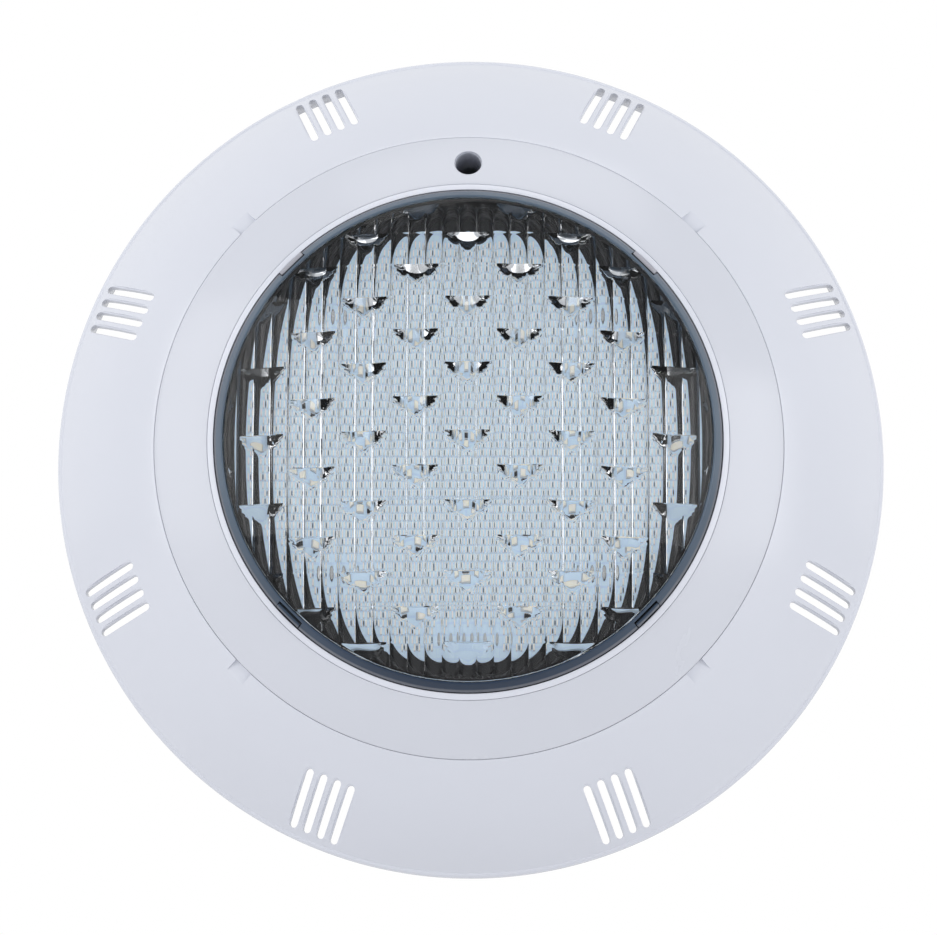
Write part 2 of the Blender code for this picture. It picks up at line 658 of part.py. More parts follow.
def cut_cross(screw, head, depth, top):
    """Cross recess in the top of a screw's head."""
    bar = (head * 0.55, head * 0.14, 2 * depth)
    for name, turn in ((screw.name + "_cross", 0), (screw.name + "_across", math.pi / 2)):
        tool = add(name, solid_mesh(name, [block(bar, (0, 0, 0), turn)]), screw)
        tool.location.z = top
        cut(screw, tool)


def make_unit_screws():
    made = []
    for i, turn in enumerate(around(UNIT_SCREWS)):
        screw = make_screw(f"unit_screw_{i + 1}", lamp, 3.9 * MM, 7.0 * MM, 2.2 * MM,
                           BEZEL_EAR_FRONT + FIT, WEB_BACK - 3.5 * MM)
        screw.location = at(turn, UNIT_SCREW_CIRCLE)
        made.append(screw)
    return made


def make_board_screws():
    made = []
    for i, turn in enumerate(around(4, math.pi / 4)):
        screw = make_screw(f"board_screw_{i + 1}", lamp, 2.6 * MM, 5.5 * MM, 1.8 * MM,
                           BOARD_FRONT + FIT, PLATE_BACK - 2 * MM)
        screw.location = at(turn, BOARD_SCREW_CIRCLE)
        made.append(screw)
    return made


def make_driver_screws():
    made = []
    for i, turn in enumerate(around(3, math.pi / 2)):
        screw = make_screw(f"driver_screw_{i + 1}", lamp, 2.6 * MM, 5.5 * MM, 1.8 * MM,
                           DRIVER_FRONT + FIT, FLOOR + 2 * MM + FIT)
        screw.location = at(turn, DRIVER_POST_CIRCLE)
        made.append(screw)
    return made


def make_pilot_screw():
    """The one screw that locks the light to its bracket, with the seal ring that keeps it in."""
    screw = make_screw("pilot_screw", pilot, PILOT_SHANK, PILOT_HEAD, PILOT_HEAD_HEIGHT,
                       POST_FLOOR_FRONT + FIT, PILOT_TIP, steps=SMALL_STEPS)
    cut_cross(screw, PILOT_HEAD, 2 * MM, POST_FLOOR_FRONT + FIT + PILOT_HEAD_HEIGHT)
    inner = PILOT_SHANK / 2 + FIT
    outer = PILOT_SHANK / 2 + 2.5 * MM - FIT
    front = POST_FLOOR_BACK - FIT
    back = front - 1.8 * MM
    profile = [(inner, front), (outer, front), (outer, back), (inner, back)]
    seal = turned("pilot_screw_seal", profile, pilot, RUBBER, steps=SMALL_STEPS)
    return [screw, seal]


# ---------------------------------------------------------------- light engine
def make_heat_plate():
    holes = [rod(at(a, BOARD_SCREW_CIRCLE), SMALL_SCREW_HOLE, 0, LIP_FRONT, SCREW_STEPS)
             for a in around(4, math.pi / 4)]
    profile = [(0, PLATE_FRONT), (HOUSING_BORE - FIT, PLATE_FRONT), (HOUSING_BORE - FIT, PLATE_BACK),
               (0, PLATE_BACK)]
    plate = turned("heat_plate", profile, lamp, ALUMINIUM, loop=False)
    cut(plate, add("plate_holes", solid_mesh("plate_holes", holes + lead_holes()), lamp))
    return plate


def lead_holes():
    return [rod((side * LEAD_HOLE[0], LEAD_HOLE[1]), LEAD_RADIUS + 0.8 * MM, 0, LIP_FRONT, SCREW_STEPS)
            for side in (-1, 1)]


def make_led_board():
    holes = [rod(at(a, BOARD_SCREW_CIRCLE), SMALL_SCREW_HOLE, 0, LIP_FRONT, SCREW_STEPS)
             for a in around(4, math.pi / 4)]
    profile = [(0, BOARD_FRONT), (BOARD_RADIUS, BOARD_FRONT), (BOARD_RADIUS, BOARD_BACK),
               (0, BOARD_BACK)]
    board = turned("led_board", profile, lamp, BOARD_WHITE, loop=False)
    cut(board, add("board_holes", solid_mesh("board_holes", holes + lead_holes()), lamp))
    return board


def make_driver():
    """Driver board and what is soldered to it."""
    profile = [(0, DRIVER_FRONT), (DRIVER_RADIUS, DRIVER_FRONT), (DRIVER_RADIUS, DRIVER_BACK),
               (0, DRIVER_BACK)]
    board = turned("driver_board", profile, lamp, BOARD_GREEN, steps=36, loop=False)
    holes = [rod(at(a, DRIVER_POST_CIRCLE), SMALL_SCREW_HOLE, 0, LIP_FRONT, SCREW_STEPS)
             for a in around(3, math.pi / 2)]
    cut(board, add("driver_board_holes", solid_mesh("driver_board_holes", holes), lamp))
    base = PART_BASE
    can_top = base + 14 * MM
    can = [(0, can_top), (7 * MM, can_top), (8 * MM, can_top - 1 * MM), (8 * MM, base), (0, base)]
    capacitor = turned("smoothing_capacitor", can, lamp, BLACK_PLASTIC, SMALL_STEPS, False)
    capacitor.location = (19 * MM, 14 * MM, 0)
    coil = [(6 * MM, base + 9 * MM), (10 * MM, base + 9 * MM), (11.5 * MM, base + 7 * MM),
            (11.5 * MM, base + 2 * MM), (10 * MM, base), (6 * MM, base), (5 * MM, base + 2 * MM),
            (5 * MM, base + 7 * MM)]
    choke = turned("choke_coil", coil, lamp, COPPER, SMALL_STEPS)
    choke.location = (-19 * MM, 14 * MM, 0)
    boxes = (("bridge_rectifier", (15, 4, 11), (0, 27), BLACK_PLASTIC),
             ("driver_chip", (10, 8, 2), (0, -8), BLACK_PLASTIC),
             ("terminal_block", (20, 9, 10), (0, -34), GREEN_PLASTIC))
    made = [board, capacitor, choke]
    for name, size, place, look in boxes:
        size = [s * MM for s in size]
        centre = (place[0] * MM, place[1] * MM, base + size[2] / 2)
        part = add(name, solid_mesh(name, [block(size, centre)]), lamp, look)
        bevel = part.modifiers.new("edges", "BEVEL")
        bevel.width = 0.4 * MM
        bevel.segments = 1
        made.append(part)
    return made


def make_lead(name, side, look):
    """A wire from the terminal block, up through the plate, into its hole in the LED board."""
    x = side * LEAD_HOLE[0]
    y = LEAD_HOLE[1]
    start = -34 * MM - 4.5 * MM - FIT
    low = PART_BASE + 4 * MM
    bend = 4 * MM
    points = [(start, low), (y + bend, low)]
    points += [(y + bend - bend * math.sin(a), low + bend * (1 - math.cos(a)))
               for a in (math.pi / 6, math.pi / 3, math.pi / 2)]
    points.append((y, BOARD_FRONT - FIT))
    curve = bpy.data.curves.new(name, "CURVE")
    curve.dimensions = "3D"
    curve.bevel_depth = LEAD_RADIUS
    curve.bevel_resolution = 1
    curve.use_fill_caps = True
    spline = curve.splines.new("POLY")
    spline.points.add(len(points) - 1)
    for point, (along, z) in zip(spline.points, points):
        point.co = (x, along, z, 1)
    return add(name, curve_to_mesh(name, curve), lamp, look)


# ---------------------------------------------------------------- cable gland
GLAND_SEAL_RING = 1.8 * MM
GLAND_HEX_BACK = 2 * FIT + GLAND_SEAL_RING
GLAND_HEX = 5.0 * MM
GLAND_NECK = 8.6 * MM
GLAND_NECK_RADIUS = 8.2 * MM
GLAND_CORD_HOLE = 3.5 * MM


def make_gland():
    """Body, sealing ring, rubber bush and dome nut. z runs outwards from the boss's face."""
    thread = GLAND_THREAD / 2
    hex_front = GLAND_HEX_BACK + GLAND_HEX
    neck_end = hex_front + GLAND_NECK
    bush = GLAND_NECK_RADIUS - 1.8 * MM
    bore = 5.0 * MM
    shelf = hex_front + 1 * MM
    middle = GLAND_HEX_BACK + GLAND_HEX / 2
    profile = [(bush, neck_end), (GLAND_NECK_RADIUS, neck_end), (GLAND_NECK_RADIUS, middle),
               (thread, middle), (thread, -10 * MM), (bore, -10 * MM), (bore, shelf), (bush, shelf)]
    body = turned("gland_body", profile, gland, GREY_ABS, SMALL_STEPS)
    across = solid_mesh("gland_hex", [rod((0, 0), 12 * MM, GLAND_HEX_BACK, hex_front, 6)])
    clear = solid_mesh("gland_hex_bore", [rod((0, 0), thread - 1 * MM, -1 * MM, neck_end)])
    hexagon = add("gland_hex", across, gland)
    cut(hexagon, add("gland_hex_bore", clear, gland))
    join(body, hexagon)
    ring = [(thread + FIT, FIT + GLAND_SEAL_RING), (thread + 3 * MM, FIT + GLAND_SEAL_RING),
            (thread + 3 * MM, FIT), (thread + FIT, FIT)]
    seal = turned("gland_o_ring", ring, gland, RUBBER, SMALL_STEPS)
    bush_out = bush - FIT
    bush_front = neck_end + 1.5 * MM
    plug = [(GLAND_CORD_HOLE, bush_front), (bush_out - 1.5 * MM, bush_front), (bush_out, neck_end),
            (bush_out, shelf + FIT), (GLAND_CORD_HOLE, shelf + FIT)]
    bushing = turned("gland_seal", plug, gland, RUBBER, SMALL_STEPS)
    nut_in = GLAND_NECK_RADIUS + FIT
    nut_out = nut_in + 2.8 * MM
    nut_front = bush_front + 3 * MM
    shell = [(GLAND_CORD_HOLE + 1 * MM, nut_front), (nut_out - 4 * MM, nut_front),
             (nut_out, nut_front - 4 * MM), (nut_out, hex_front + FIT), (nut_in, hex_front + FIT),
             (nut_in, neck_end + FIT), (bush_out, bush_front + FIT),
             (GLAND_CORD_HOLE + 1 * MM, bush_front + FIT)]
    nut = turned("gland_nut", shell, gland, GREY_ABS, SMALL_STEPS)
    return [body, seal, bushing, nut]


# ---------------------------------------------------------------- wall bracket
def make_bracket():
    """Round plate with an arm up to the pilot screw's boss, and two sockets for the feet."""
    start = math.acos(ARM_RADIUS / PLATE_RADIUS)
    disc = [(PLATE_RADIUS * math.cos(a), PLATE_RADIUS * math.sin(a))
            for a in spread(math.pi - start, 2 * math.pi + start, 40)]
    arm = [(ARM_RADIUS * math.cos(a), PILOT_Y + ARM_RADIUS * math.sin(a))
           for a in spread(0, math.pi, 13)]
    mesh = outline_mesh("wall_bracket", [disc + arm], PLATE / 2)
    plate = add("wall_bracket", mesh, bracket, GREY_ABS)
    mesh.transform(Matrix.Translation((0, 0, PLATE / 2)))
    socket_size = [TONGUE_FOOT[0] + 2 * FIT + 2 * SOCKET_WALL, TONGUE_FOOT[1] + 2 * FIT + 2 * SOCKET_WALL]
    socket_front = HOUSING_BACK - 1.5 * MM
    low = PLATE / 2
    sockets = [block((*socket_size, socket_front - low),
                     (side * SOCKET_X, SOCKET_Y, (socket_front + low) / 2)) for side in (-1, 1)]
    sockets.append(rod((0, PILOT_Y), BOSS_OUTER / 2, low, BOSS_FRONT))
    pockets = [block((TONGUE_FOOT[0] + 2 * FIT, TONGUE_FOOT[1] + 2 * FIT, 20 * MM),
                     (side * SOCKET_X, SOCKET_Y, PLATE + 1 * MM + 10 * MM)) for side in (-1, 1)]
    pockets.append(rod((0, PILOT_Y), INSERT_OUTER / 2 + FIT, PLATE / 3, 20 * MM))
    pockets += [rod(place, FIXING_HOLE / 2, -2 * MM, 20 * MM, 16) for place in FIXING_PLACES]
    join(plate, add("bracket_raised", solid_mesh("bracket_raised", sockets), bracket))
    cut(plate, add("bracket_pockets", solid_mesh("bracket_pockets", pockets), bracket))
    sinks = [rod(place, FIXING_HEAD / 2 + 1 * MM, PLATE - 2.4 * MM, PLATE + 1 * MM,
                 16, end_radius=FIXING_HOLE / 2 - 0.4 * MM) for place in FIXING_PLACES]
    cut(plate, add("bracket_sinks", solid_mesh("bracket_sinks", sinks), bracket))
    back = PLATE / 3 + FIT
    front = BOSS_FRONT - FIT
    bore = PILOT_SHANK / 2 + FIT
    insert_profile = [(bore, front), (INSERT_OUTER / 2, front), (INSERT_OUTER / 2, back), (bore, back)]
    insert = turned("bracket_insert", insert_profile, bracket, BRASS, SMALL_STEPS)
    insert.location.y = PILOT_Y
    return [plate, insert]


# ---------------------------------------------------------------- the whole light
pieces = [make_flange(), make_ring(), make_bezel(), make_lens(), make_band(), make_gasket(),
          make_housing(), make_heat_plate(), make_led_board()]
pieces += [make_clip(i + 1, turn) for i, turn in enumerate(around(CLIPS, math.pi / CLIPS))]
pieces += make_unit_screws() + make_board_screws() + make_driver_screws() + make_pilot_screw()
pieces += make_driver() + make_gland() + make_bracket()
pieces += [make_lead("led_lead_positive", 1, RED_WIRE), make_lead("led_lead_negative", -1, BLACK_WIRE)]

bpy.context.view_layer.update()
for piece in pieces:
    smooth(piece)
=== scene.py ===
"""Looks of the underwater pool light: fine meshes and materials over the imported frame.

Round pieces are made in a face frame: its x is world X, its y is world Z, and its z is the
depth from the wall towards the viewer (world -Y). Lengths are in metres.
"""

import math

import bmesh
import bpy
from mathutils import Matrix, Vector


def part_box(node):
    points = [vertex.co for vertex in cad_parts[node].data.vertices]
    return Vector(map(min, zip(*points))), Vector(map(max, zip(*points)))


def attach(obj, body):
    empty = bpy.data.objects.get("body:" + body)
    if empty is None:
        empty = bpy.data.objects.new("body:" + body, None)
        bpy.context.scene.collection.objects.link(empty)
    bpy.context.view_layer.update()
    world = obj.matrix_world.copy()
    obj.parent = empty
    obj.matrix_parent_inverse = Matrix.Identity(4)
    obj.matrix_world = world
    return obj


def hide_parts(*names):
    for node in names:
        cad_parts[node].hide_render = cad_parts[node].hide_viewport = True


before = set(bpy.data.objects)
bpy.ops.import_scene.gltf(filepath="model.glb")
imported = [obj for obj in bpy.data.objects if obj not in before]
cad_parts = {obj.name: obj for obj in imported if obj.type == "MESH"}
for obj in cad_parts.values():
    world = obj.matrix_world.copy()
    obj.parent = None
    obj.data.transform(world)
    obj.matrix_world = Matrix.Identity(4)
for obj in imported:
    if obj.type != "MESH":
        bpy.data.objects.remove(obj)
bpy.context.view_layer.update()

MM = 0.001
FACE_TO_WORLD = Matrix.Rotation(math.pi / 2, 4, "X")


# ---------------------------------------------------------------- sizes from the frame
def radii(node):
    """Smallest and largest distance of a node's corners from the light's axis."""
    places = [math.hypot(v.co.x, v.co.z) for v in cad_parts[node].data.vertices]
    return min(places), max(places)


def depths(node):
    low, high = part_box(node)
    return -high.y, -low.y


GAP = 0.3 * MM
OPENING, EAR = radii("lens_bezel")
RING_INNER, RING_OUTER = radii("retaining_ring")
WEB_INNER, RIM = radii("face_flange")
BAND_INNER, BAND_OUTER = radii("lens_ring")
LENS_FOOT = radii("lens")[1]
LENS_RADIUS = BAND_INNER - GAP
BOARD_RADIUS = radii("led_board")[1]
LIP_OUTER = RING_INNER - GAP
RIM_BACK = depths("face_flange")[0]
LIP_FRONT = depths("lens_bezel")[1]
LIP_BACK = depths("lens_ring")[0]
SHOULDER = depths("lens_ring")[1] - GAP
FOOT_BACK, APEX = depths("lens")
FOOT_FRONT = LIP_BACK - GAP
BOARD_BACK, BOARD_FRONT = depths("led_board")
HOUSING_FRONT = depths("lamp_housing")[1]
PLATE_BACK = depths("heat_plate")[0]
CLIP_BACK, CLIP_FRONT = depths("lens_clip_1")

# Sizes that the boxes don't give.
SEAM = 0.07 * MM                # visible gap along the ring's edges
RIM_FRONT = 12.0 * MM
FACE_BULGE = 6.3 * MM
SHELL_WALL = 3.0 * MM
RING_WALL = 2.8 * MM
RIM_ROUNDING = 1.6 * MM
LEDGE_WIDTH = 2.5 * MM
SEAT_WALL = 3.3 * MM
TONGUE_WALL = 1.6 * MM
TONGUE_WIDTH = 8.0 * MM
WEB = 3.0 * MM
LENS_WALL = 3.0 * MM
CLIP_WIDTH = 10.0 * MM
CLIP_WALL = 1.6 * MM
PILOT_Z = (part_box("pilot_screw")[0].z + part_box("pilot_screw")[1].z) / 2
PILOT_BORE = 9.2 * MM
PILOT_BORE_END = 8.2 * MM
TUNNEL_DEPTH = 24.0 * MM
TUNNEL_OUTER = 11.8 * MM
POST_OUTER = 17.0 * MM
POST_BACK = 10.0 * MM
POST_FLOOR = (15.5 * MM, 19.0 * MM)

FLANGE_INNER = RING_OUTER + GAP
SEAT_INNER = FLANGE_INNER - LEDGE_WIDTH
SEAT_OUTER = SEAT_INNER + SEAT_WALL
TONGUE_OUTER = SEAT_INNER - GAP
EAR_FRONT = HOUSING_FRONT - 3.7 * MM
EAR_BACK = EAR_FRONT - 2.9 * MM
WEB_FRONT = EAR_BACK - GAP
WEB_BACK = WEB_FRONT - WEB
UNIT_CIRCLE = EAR - 5.1 * MM
UNIT_SCREW_BOSS = 4.5 * MM      # radius
UNIT_SCREW_HOLE = 2.25 * MM     # radius
SMALL_SCREW_HOLE = 1.6 * MM     # radius

ROUND = 288                     # sides of large turned pieces
SMALL = 48


def face_circle():
    """Centre and radius of the arc that the whole face follows, in radius and depth."""
    run = RIM - OPENING
    rise = LIP_FRONT - RIM_FRONT
    chord = math.hypot(run, rise)
    radius = (chord * chord / 4 + FACE_BULGE**2) / (2 * FACE_BULGE)
    back = radius - FACE_BULGE
    middle_r = (RIM + OPENING) / 2
    middle_z = (LIP_FRONT + RIM_FRONT) / 2
    return middle_r - back * rise / chord, middle_z - back * run / chord, radius


FACE_R, FACE_Z, FACE_ARC = face_circle()


def face(radius, below=0.0):
    """Depth of the face at this radius, or of the surface that lies this far under it."""
    arc = FACE_ARC - below
    return FACE_Z + math.sqrt(arc * arc - (radius - FACE_R) ** 2)


def spread(start, end, count):
    return [start + (end - start) * i / (count - 1) for i in range(count)]


def around(count, first=0.0):
    return [first + 2 * math.pi * i / count for i in range(count)]


def at(angle, radius):
    return (radius * math.cos(angle), radius * math.sin(angle))


# ---------------------------------------------------------------- mesh helpers
def new_object(name, form):
    mesh = bpy.data.meshes.new(name)
    form.to_mesh(mesh)
    form.free()
    made = bpy.data.objects.new(name, mesh)
    bpy.context.scene.collection.objects.link(made)
    return made


def fillet(points, radius, sharp=0.35, steps=3, loop=True):
    """Rounds a profile's corners with small arcs. Corners that turn less than sharp stay."""
    made = []
    count = len(points)
    for i, corner in enumerate(points):
        here = Vector(corner)
        if not loop and i in (0, count - 1):
            made.append(corner)
            continue
        before = Vector(points[i - 1]) - here
        after = Vector(points[(i + 1) % count]) - here
        turn = math.pi - before.angle(after)
        if turn < sharp:
            made.append(corner)
            continue
        reach = min(radius * math.tan(turn / 2), before.length * 0.45, after.length * 0.45)
        start = here + before.normalized() * reach
        end = here + after.normalized() * reach
        for t in spread(0, 1, steps + 1):
            made.append(tuple(start * (1 - t) ** 2 + here * 2 * t * (1 - t) + end * t * t))
    return made


def revolve(form, profile, steps=ROUND, loop=True):
    """Adds a profile of (radius, z) points, swept round z, to a bmesh."""
    rings = []
    for radius, z in profile:
        if radius < 1e-7:
            rings.append([form.verts.new((0, 0, z))] * steps)
        else:
            rings.append([form.verts.new((*at(a, radius), z)) for a in around(steps)])
    pairs = list(zip(rings, rings[1:]))
    if loop:
        pairs.append((rings[-1], rings[0]))
    for first, second in pairs:
        for i in range(steps):
            j = (i + 1) % steps
            corners = [first[i], second[i], second[j], first[j]]
            corners = list(dict.fromkeys(corners))
            if len(corners) > 2:
                form.faces.new(corners)


def turned(name, profile, steps=ROUND, loop=True):
    form = bmesh.new()
    revolve(form, profile, steps, loop)
    bmesh.ops.recalc_face_normals(form, faces=form.faces)
    return new_object(name, form)


def rod(place, radius, back, front, steps=SMALL, end_radius=None):
    """A cylinder along z. end_radius is its radius at the back."""
    middle = Matrix.Translation((place[0], place[1], (back + front) / 2))

    def fill(form):
        bmesh.ops.create_cone(form, cap_ends=True, segments=steps, radius1=end_radius or radius,
                              radius2=radius, depth=front - back, matrix=middle)

    return fill


def block(size, centre, turn=0.0, rounding=0.0):
    """A box whose centre is turned about z with it, its edges rounded."""
    matrix = Matrix.Rotation(turn, 4, "Z") @ Matrix.Translation(centre)

    def fill(form):
        made = bmesh.ops.create_cube(form, size=1.0, matrix=Matrix.Diagonal((*size, 1.0)))
        verts = made["verts"]
        if rounding:
            edges = list({e for v in verts for e in v.link_edges})
            bevel = bmesh.ops.bevel(form, geom=edges, offset=rounding, segments=2,
                                    profile=0.5, affect="EDGES")
            verts = list({v for f in bevel["faces"] for v in f.verts} | {v for v in verts if v.is_valid})
        bmesh.ops.transform(form, matrix=matrix, verts=verts)

    return fill


def solid(name, fills):
    form = bmesh.new()
    for fill in fills:
        fill(form)
    return new_object(name, form)


def combine(target, tool, operation):
    """Applies an exact Boolean at once and removes the tool."""
    step = target.modifiers.new("step", "BOOLEAN")
    step.operation = operation
    step.solver = "EXACT"
    step.object = tool
    graph = bpy.context.evaluated_depsgraph_get()
    mesh = bpy.data.meshes.new_from_object(target.evaluated_get(graph))
    target.modifiers.clear()
    target.data = mesh
    bpy.data.objects.remove(tool, do_unlink=True)


def cut(target, tool):
    combine(target, tool, "DIFFERENCE")


def join(target, tool):
    combine(target, tool, "UNION")


def repeated(name, fill, places):
    """One small form, copied to every place."""
    form = bmesh.new()
    fill(form)
    form.verts.index_update()
    corners = [v.co.copy() for v in form.verts]
    sides = [[v.index for v in f.verts] for f in form.faces]
    form.free()
    mesh = bpy.data.meshes.new(name)
    verts = [(c.x + x, c.y + y, c.z) for x, y in places for c in corners]
    faces = [[i + n * len(corners) for i in side] for n in range(len(places)) for side in sides]
    mesh.from_pydata(verts, [], faces)
    made = bpy.data.objects.new(name, mesh)
    bpy.context.scene.collection.objects.link(made)
    return made


def surface_cutter(name, outlines, edge, bottom, clear=4 * MM):
    """Cuts outlines of (x, y, outward x, outward y) through the face, with a rounded edge."""
    levels = [(edge * (1 - math.cos(a)), edge * (1 - math.sin(a))) for a in spread(0, math.pi / 2, 5)]
    form = bmesh.new()
    for outline in outlines:
        rings = [[form.verts.new((x, y, bottom)) for x, y, u, v in outline]]
        for aside, below in levels:
            rings.append([
                form.verts.new((x + u * aside, y + v * aside, face(math.hypot(x, y)) - below))
                for x, y, u, v in outline])
        past = edge + 0.1 * MM
        for over in (0.04 * MM, clear):
            rings.append([
                form.verts.new((x + u * past, y + v * past, face(math.hypot(x, y)) + over))
                for x, y, u, v in outline])
        for lower, upper in zip(rings, rings[1:]):
            for i in range(len(outline)):
                j = (i + 1) % len(outline)
                form.faces.new((lower[i], lower[j], upper[j], upper[i]))
        form.faces.new(list(reversed(rings[0])))
        form.faces.new(rings[-1])
    bmesh.ops.recalc_face_normals(form, faces=form.faces)
    return new_object(name, form)


def shade(made, angle=0.55):
    made.data.shade_smooth()
    made.data.set_sharp_from_angle(angle=angle)


def piece(made, look, body, slot, *nodes, angle=0.55, matrix=FACE_TO_WORLD):
    """Moves a finished mesh to the world frame and hands it to its body."""
    made.data.transform(matrix)
    made.data.materials.clear()
    made.data.materials.append(look)
    shade(made, angle)
    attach(made, body)
    if nodes:
        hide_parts(*nodes)
    return made


# ---------------------------------------------------------------- materials
class Look:
    """A Principled material whose colour, roughness and relief come from noise."""

    def __init__(self, name, colour, roughness, **sockets):
        self.material = bpy.data.materials.new(name)
        self.material.use_nodes = True
        self.tree = self.material.node_tree
        self.shader = self.tree.nodes["Principled BSDF"]
        self.coords = self.node("ShaderNodeTexCoord").outputs["Object"]
        self.normal = None
        self.set("Base Color", (*colour, 1.0))
        self.set("Roughness", roughness)
        for socket, value in sockets.items():
            self.set(socket.replace("_", " "), value)

    def node(self, kind, **inputs):
        made = self.tree.nodes.new(kind)
        for socket, value in inputs.items():
            made.inputs[socket.replace("_", " ")].default_value = value
        return made

    def set(self, socket, value):
        self.shader.inputs[socket].default_value = value

    def link(self, source, target):
        self.tree.links.new(source, target)

    def place(self, stretch):
        """Object coordinates, stretched along the axes."""
        mapping = self.node("ShaderNodeMapping", Scale=stretch)
        self.link(self.coords, mapping.inputs["Vector"])
        return mapping.outputs["Vector"]

    def noise(self, scale, detail=3.0, stretch=(1, 1, 1), rough=0.5):
        made = self.node("ShaderNodeTexNoise", Scale=scale, Detail=detail, Roughness=rough)
        self.link(self.place(stretch), made.inputs["Vector"])
        return made.outputs["Fac"]

    def ramp(self, source, low, high, start=0.3, end=0.7):
        """Colours or grey values that run from low to high."""
        made = self.node("ShaderNodeValToRGB")
        self.link(source, made.inputs["Fac"])
        for element, place, value in zip(made.color_ramp.elements, (start, end), (low, high)):
            element.position = place
            element.color = (*value, 1.0) if isinstance(value, tuple) else (value, value, value, 1.0)
        return made.outputs["Color"]

    def mix(self, factor, first, second):
        made = self.tree.nodes.new("ShaderNodeMix")
        made.data_type = "RGBA"
        self.link(factor, made.inputs["Factor"])
        self.link(first, made.inputs["A"])
        self.link(second, made.inputs["B"])
        return made.outputs["Result"]

    def colour(self, source):
        self.link(source, self.shader.inputs["Base Color"])

    def roughness(self, source):
        self.link(source, self.shader.inputs["Roughness"])

    def relief(self, source, strength, distance):
        bump = self.node("ShaderNodeBump", Strength=strength, Distance=distance)
        self.link(source, bump.inputs["Height"])
        if self.normal:
            self.link(self.normal, bump.inputs["Normal"])
        self.normal = bump.outputs["Normal"]
        self.link(self.normal, self.shader.inputs["Normal"])


def shades(colour, share):
    """The same colour, darker and lighter by this share."""
    return tuple(c * (1 - share) for c in colour), tuple(min(1.0, c * (1 + share)) for c in colour)


def moulded(name, colour, gloss, grain, share=0.02, **sockets):
    """Moulded plastic: a slow colour drift, flow marks in the gloss and a fine skin."""
    look = Look(name, colour, gloss[0], **sockets)
    dark, light = shades(colour, share)
    drift = look.ramp(look.noise(14, 4), dark, light)
    fleck = look.ramp(look.noise(900, 2), 0.0, 1.0, 0.70, 0.78)
    speck = look.ramp(look.noise(230, 2), tuple(c * 0.9 for c in dark), dark, 0.1, 0.3)
    look.colour(look.mix(fleck, drift, speck))
    look.roughness(look.ramp(look.noise(45, 5, (1, 1, 0.35)), gloss[0], gloss[1]))
    look.relief(look.noise(26, 2), 0.10, 0.4 * MM)
    look.relief(look.noise(grain, 3), 0.06, 0.05 * MM)
    return look.material


def metal(name, colour, gloss, stretch, share=0.05):
    """Turned or rolled metal with fine tool marks."""
    look = Look(name, colour, gloss[0], Metallic=1.0)
    dark, light = shades(colour, share)
    lines = look.noise(700, 3, stretch)
    look.colour(look.ramp(look.noise(120, 3), dark, light))
    look.roughness(look.ramp(lines, gloss[0], gloss[1]))
    look.relief(lines, 0.15, 0.03 * MM)
    return look.material


def clear_plastic():
    look = Look("clear_polycarbonate", (0.97, 0.985, 1.0), 0.0, Transmission_Weight=1.0, IOR=1.57)
    # Painted shade: a grey specular tint dims the lens's reflections, standing in for darker surroundings,
    # so the gap at its foot looks dark.
    look.set("Specular Tint", (0.4, 0.4, 0.4, 1.0))
    look.relief(look.noise(60, 1), 0.02, 0.05 * MM)
    return look.material


def dark_gloss():
    """Blue-black plastic with painted reflection: painted paler towards its top, and a painted grey
    highlight along its outer edge.
    """
    navy = (0.004, 0.020, 0.052)
    # Painted reflection: the paler slate painted on the band's top stands for the light it reflects.
    painted_sheen_slate = (0.080, 0.115, 0.160)
    look = Look("dark_band", navy, 0.2, Specular_IOR_Level=0.5)
    # Painted reflection: navy below, blending to the painted slate towards the top by height.
    up = look.tree.nodes.new("ShaderNodeSeparateXYZ")
    look.link(look.coords, up.inputs["Vector"])
    height = look.node("ShaderNodeMapRange")
    height.inputs["From Min"].default_value = -BAND_OUTER
    height.inputs["From Max"].default_value = -0.2 * BAND_OUTER
    look.link(up.outputs["Z"], height.inputs["Value"])
    low = look.ramp(look.noise(30, 3), *shades(navy, 0.12))
    high = look.ramp(look.noise(30, 3), *shades(painted_sheen_slate, 0.08))
    face_with_painted_sheen = look.mix(height.outputs["Result"], low, high)
    # Painted highlight: the band's outer edge is painted grey where it reflects the white lip beside it.
    flat = look.tree.nodes.new("ShaderNodeVectorMath")
    flat.operation = "LENGTH"
    look.link(look.place((1, 0, 1)), flat.inputs[0])
    reach = look.node("ShaderNodeMapRange")
    reach.inputs["From Min"].default_value = BAND_OUTER - 0.85 * MM
    reach.inputs["From Max"].default_value = BAND_OUTER - 0.55 * MM
    look.link(flat.outputs["Value"], reach.inputs["Value"])
    edge = look.ramp(look.noise(30, 3), (0.10, 0.11, 0.135), (0.14, 0.15, 0.175))
    look.colour(look.mix(reach.outputs["Result"], face_with_painted_sheen, edge))
    look.roughness(look.ramp(look.noise(90, 4), 0.16, 0.26))
    look.relief(look.noise(300, 2), 0.05, 0.03 * MM)
    return look.material


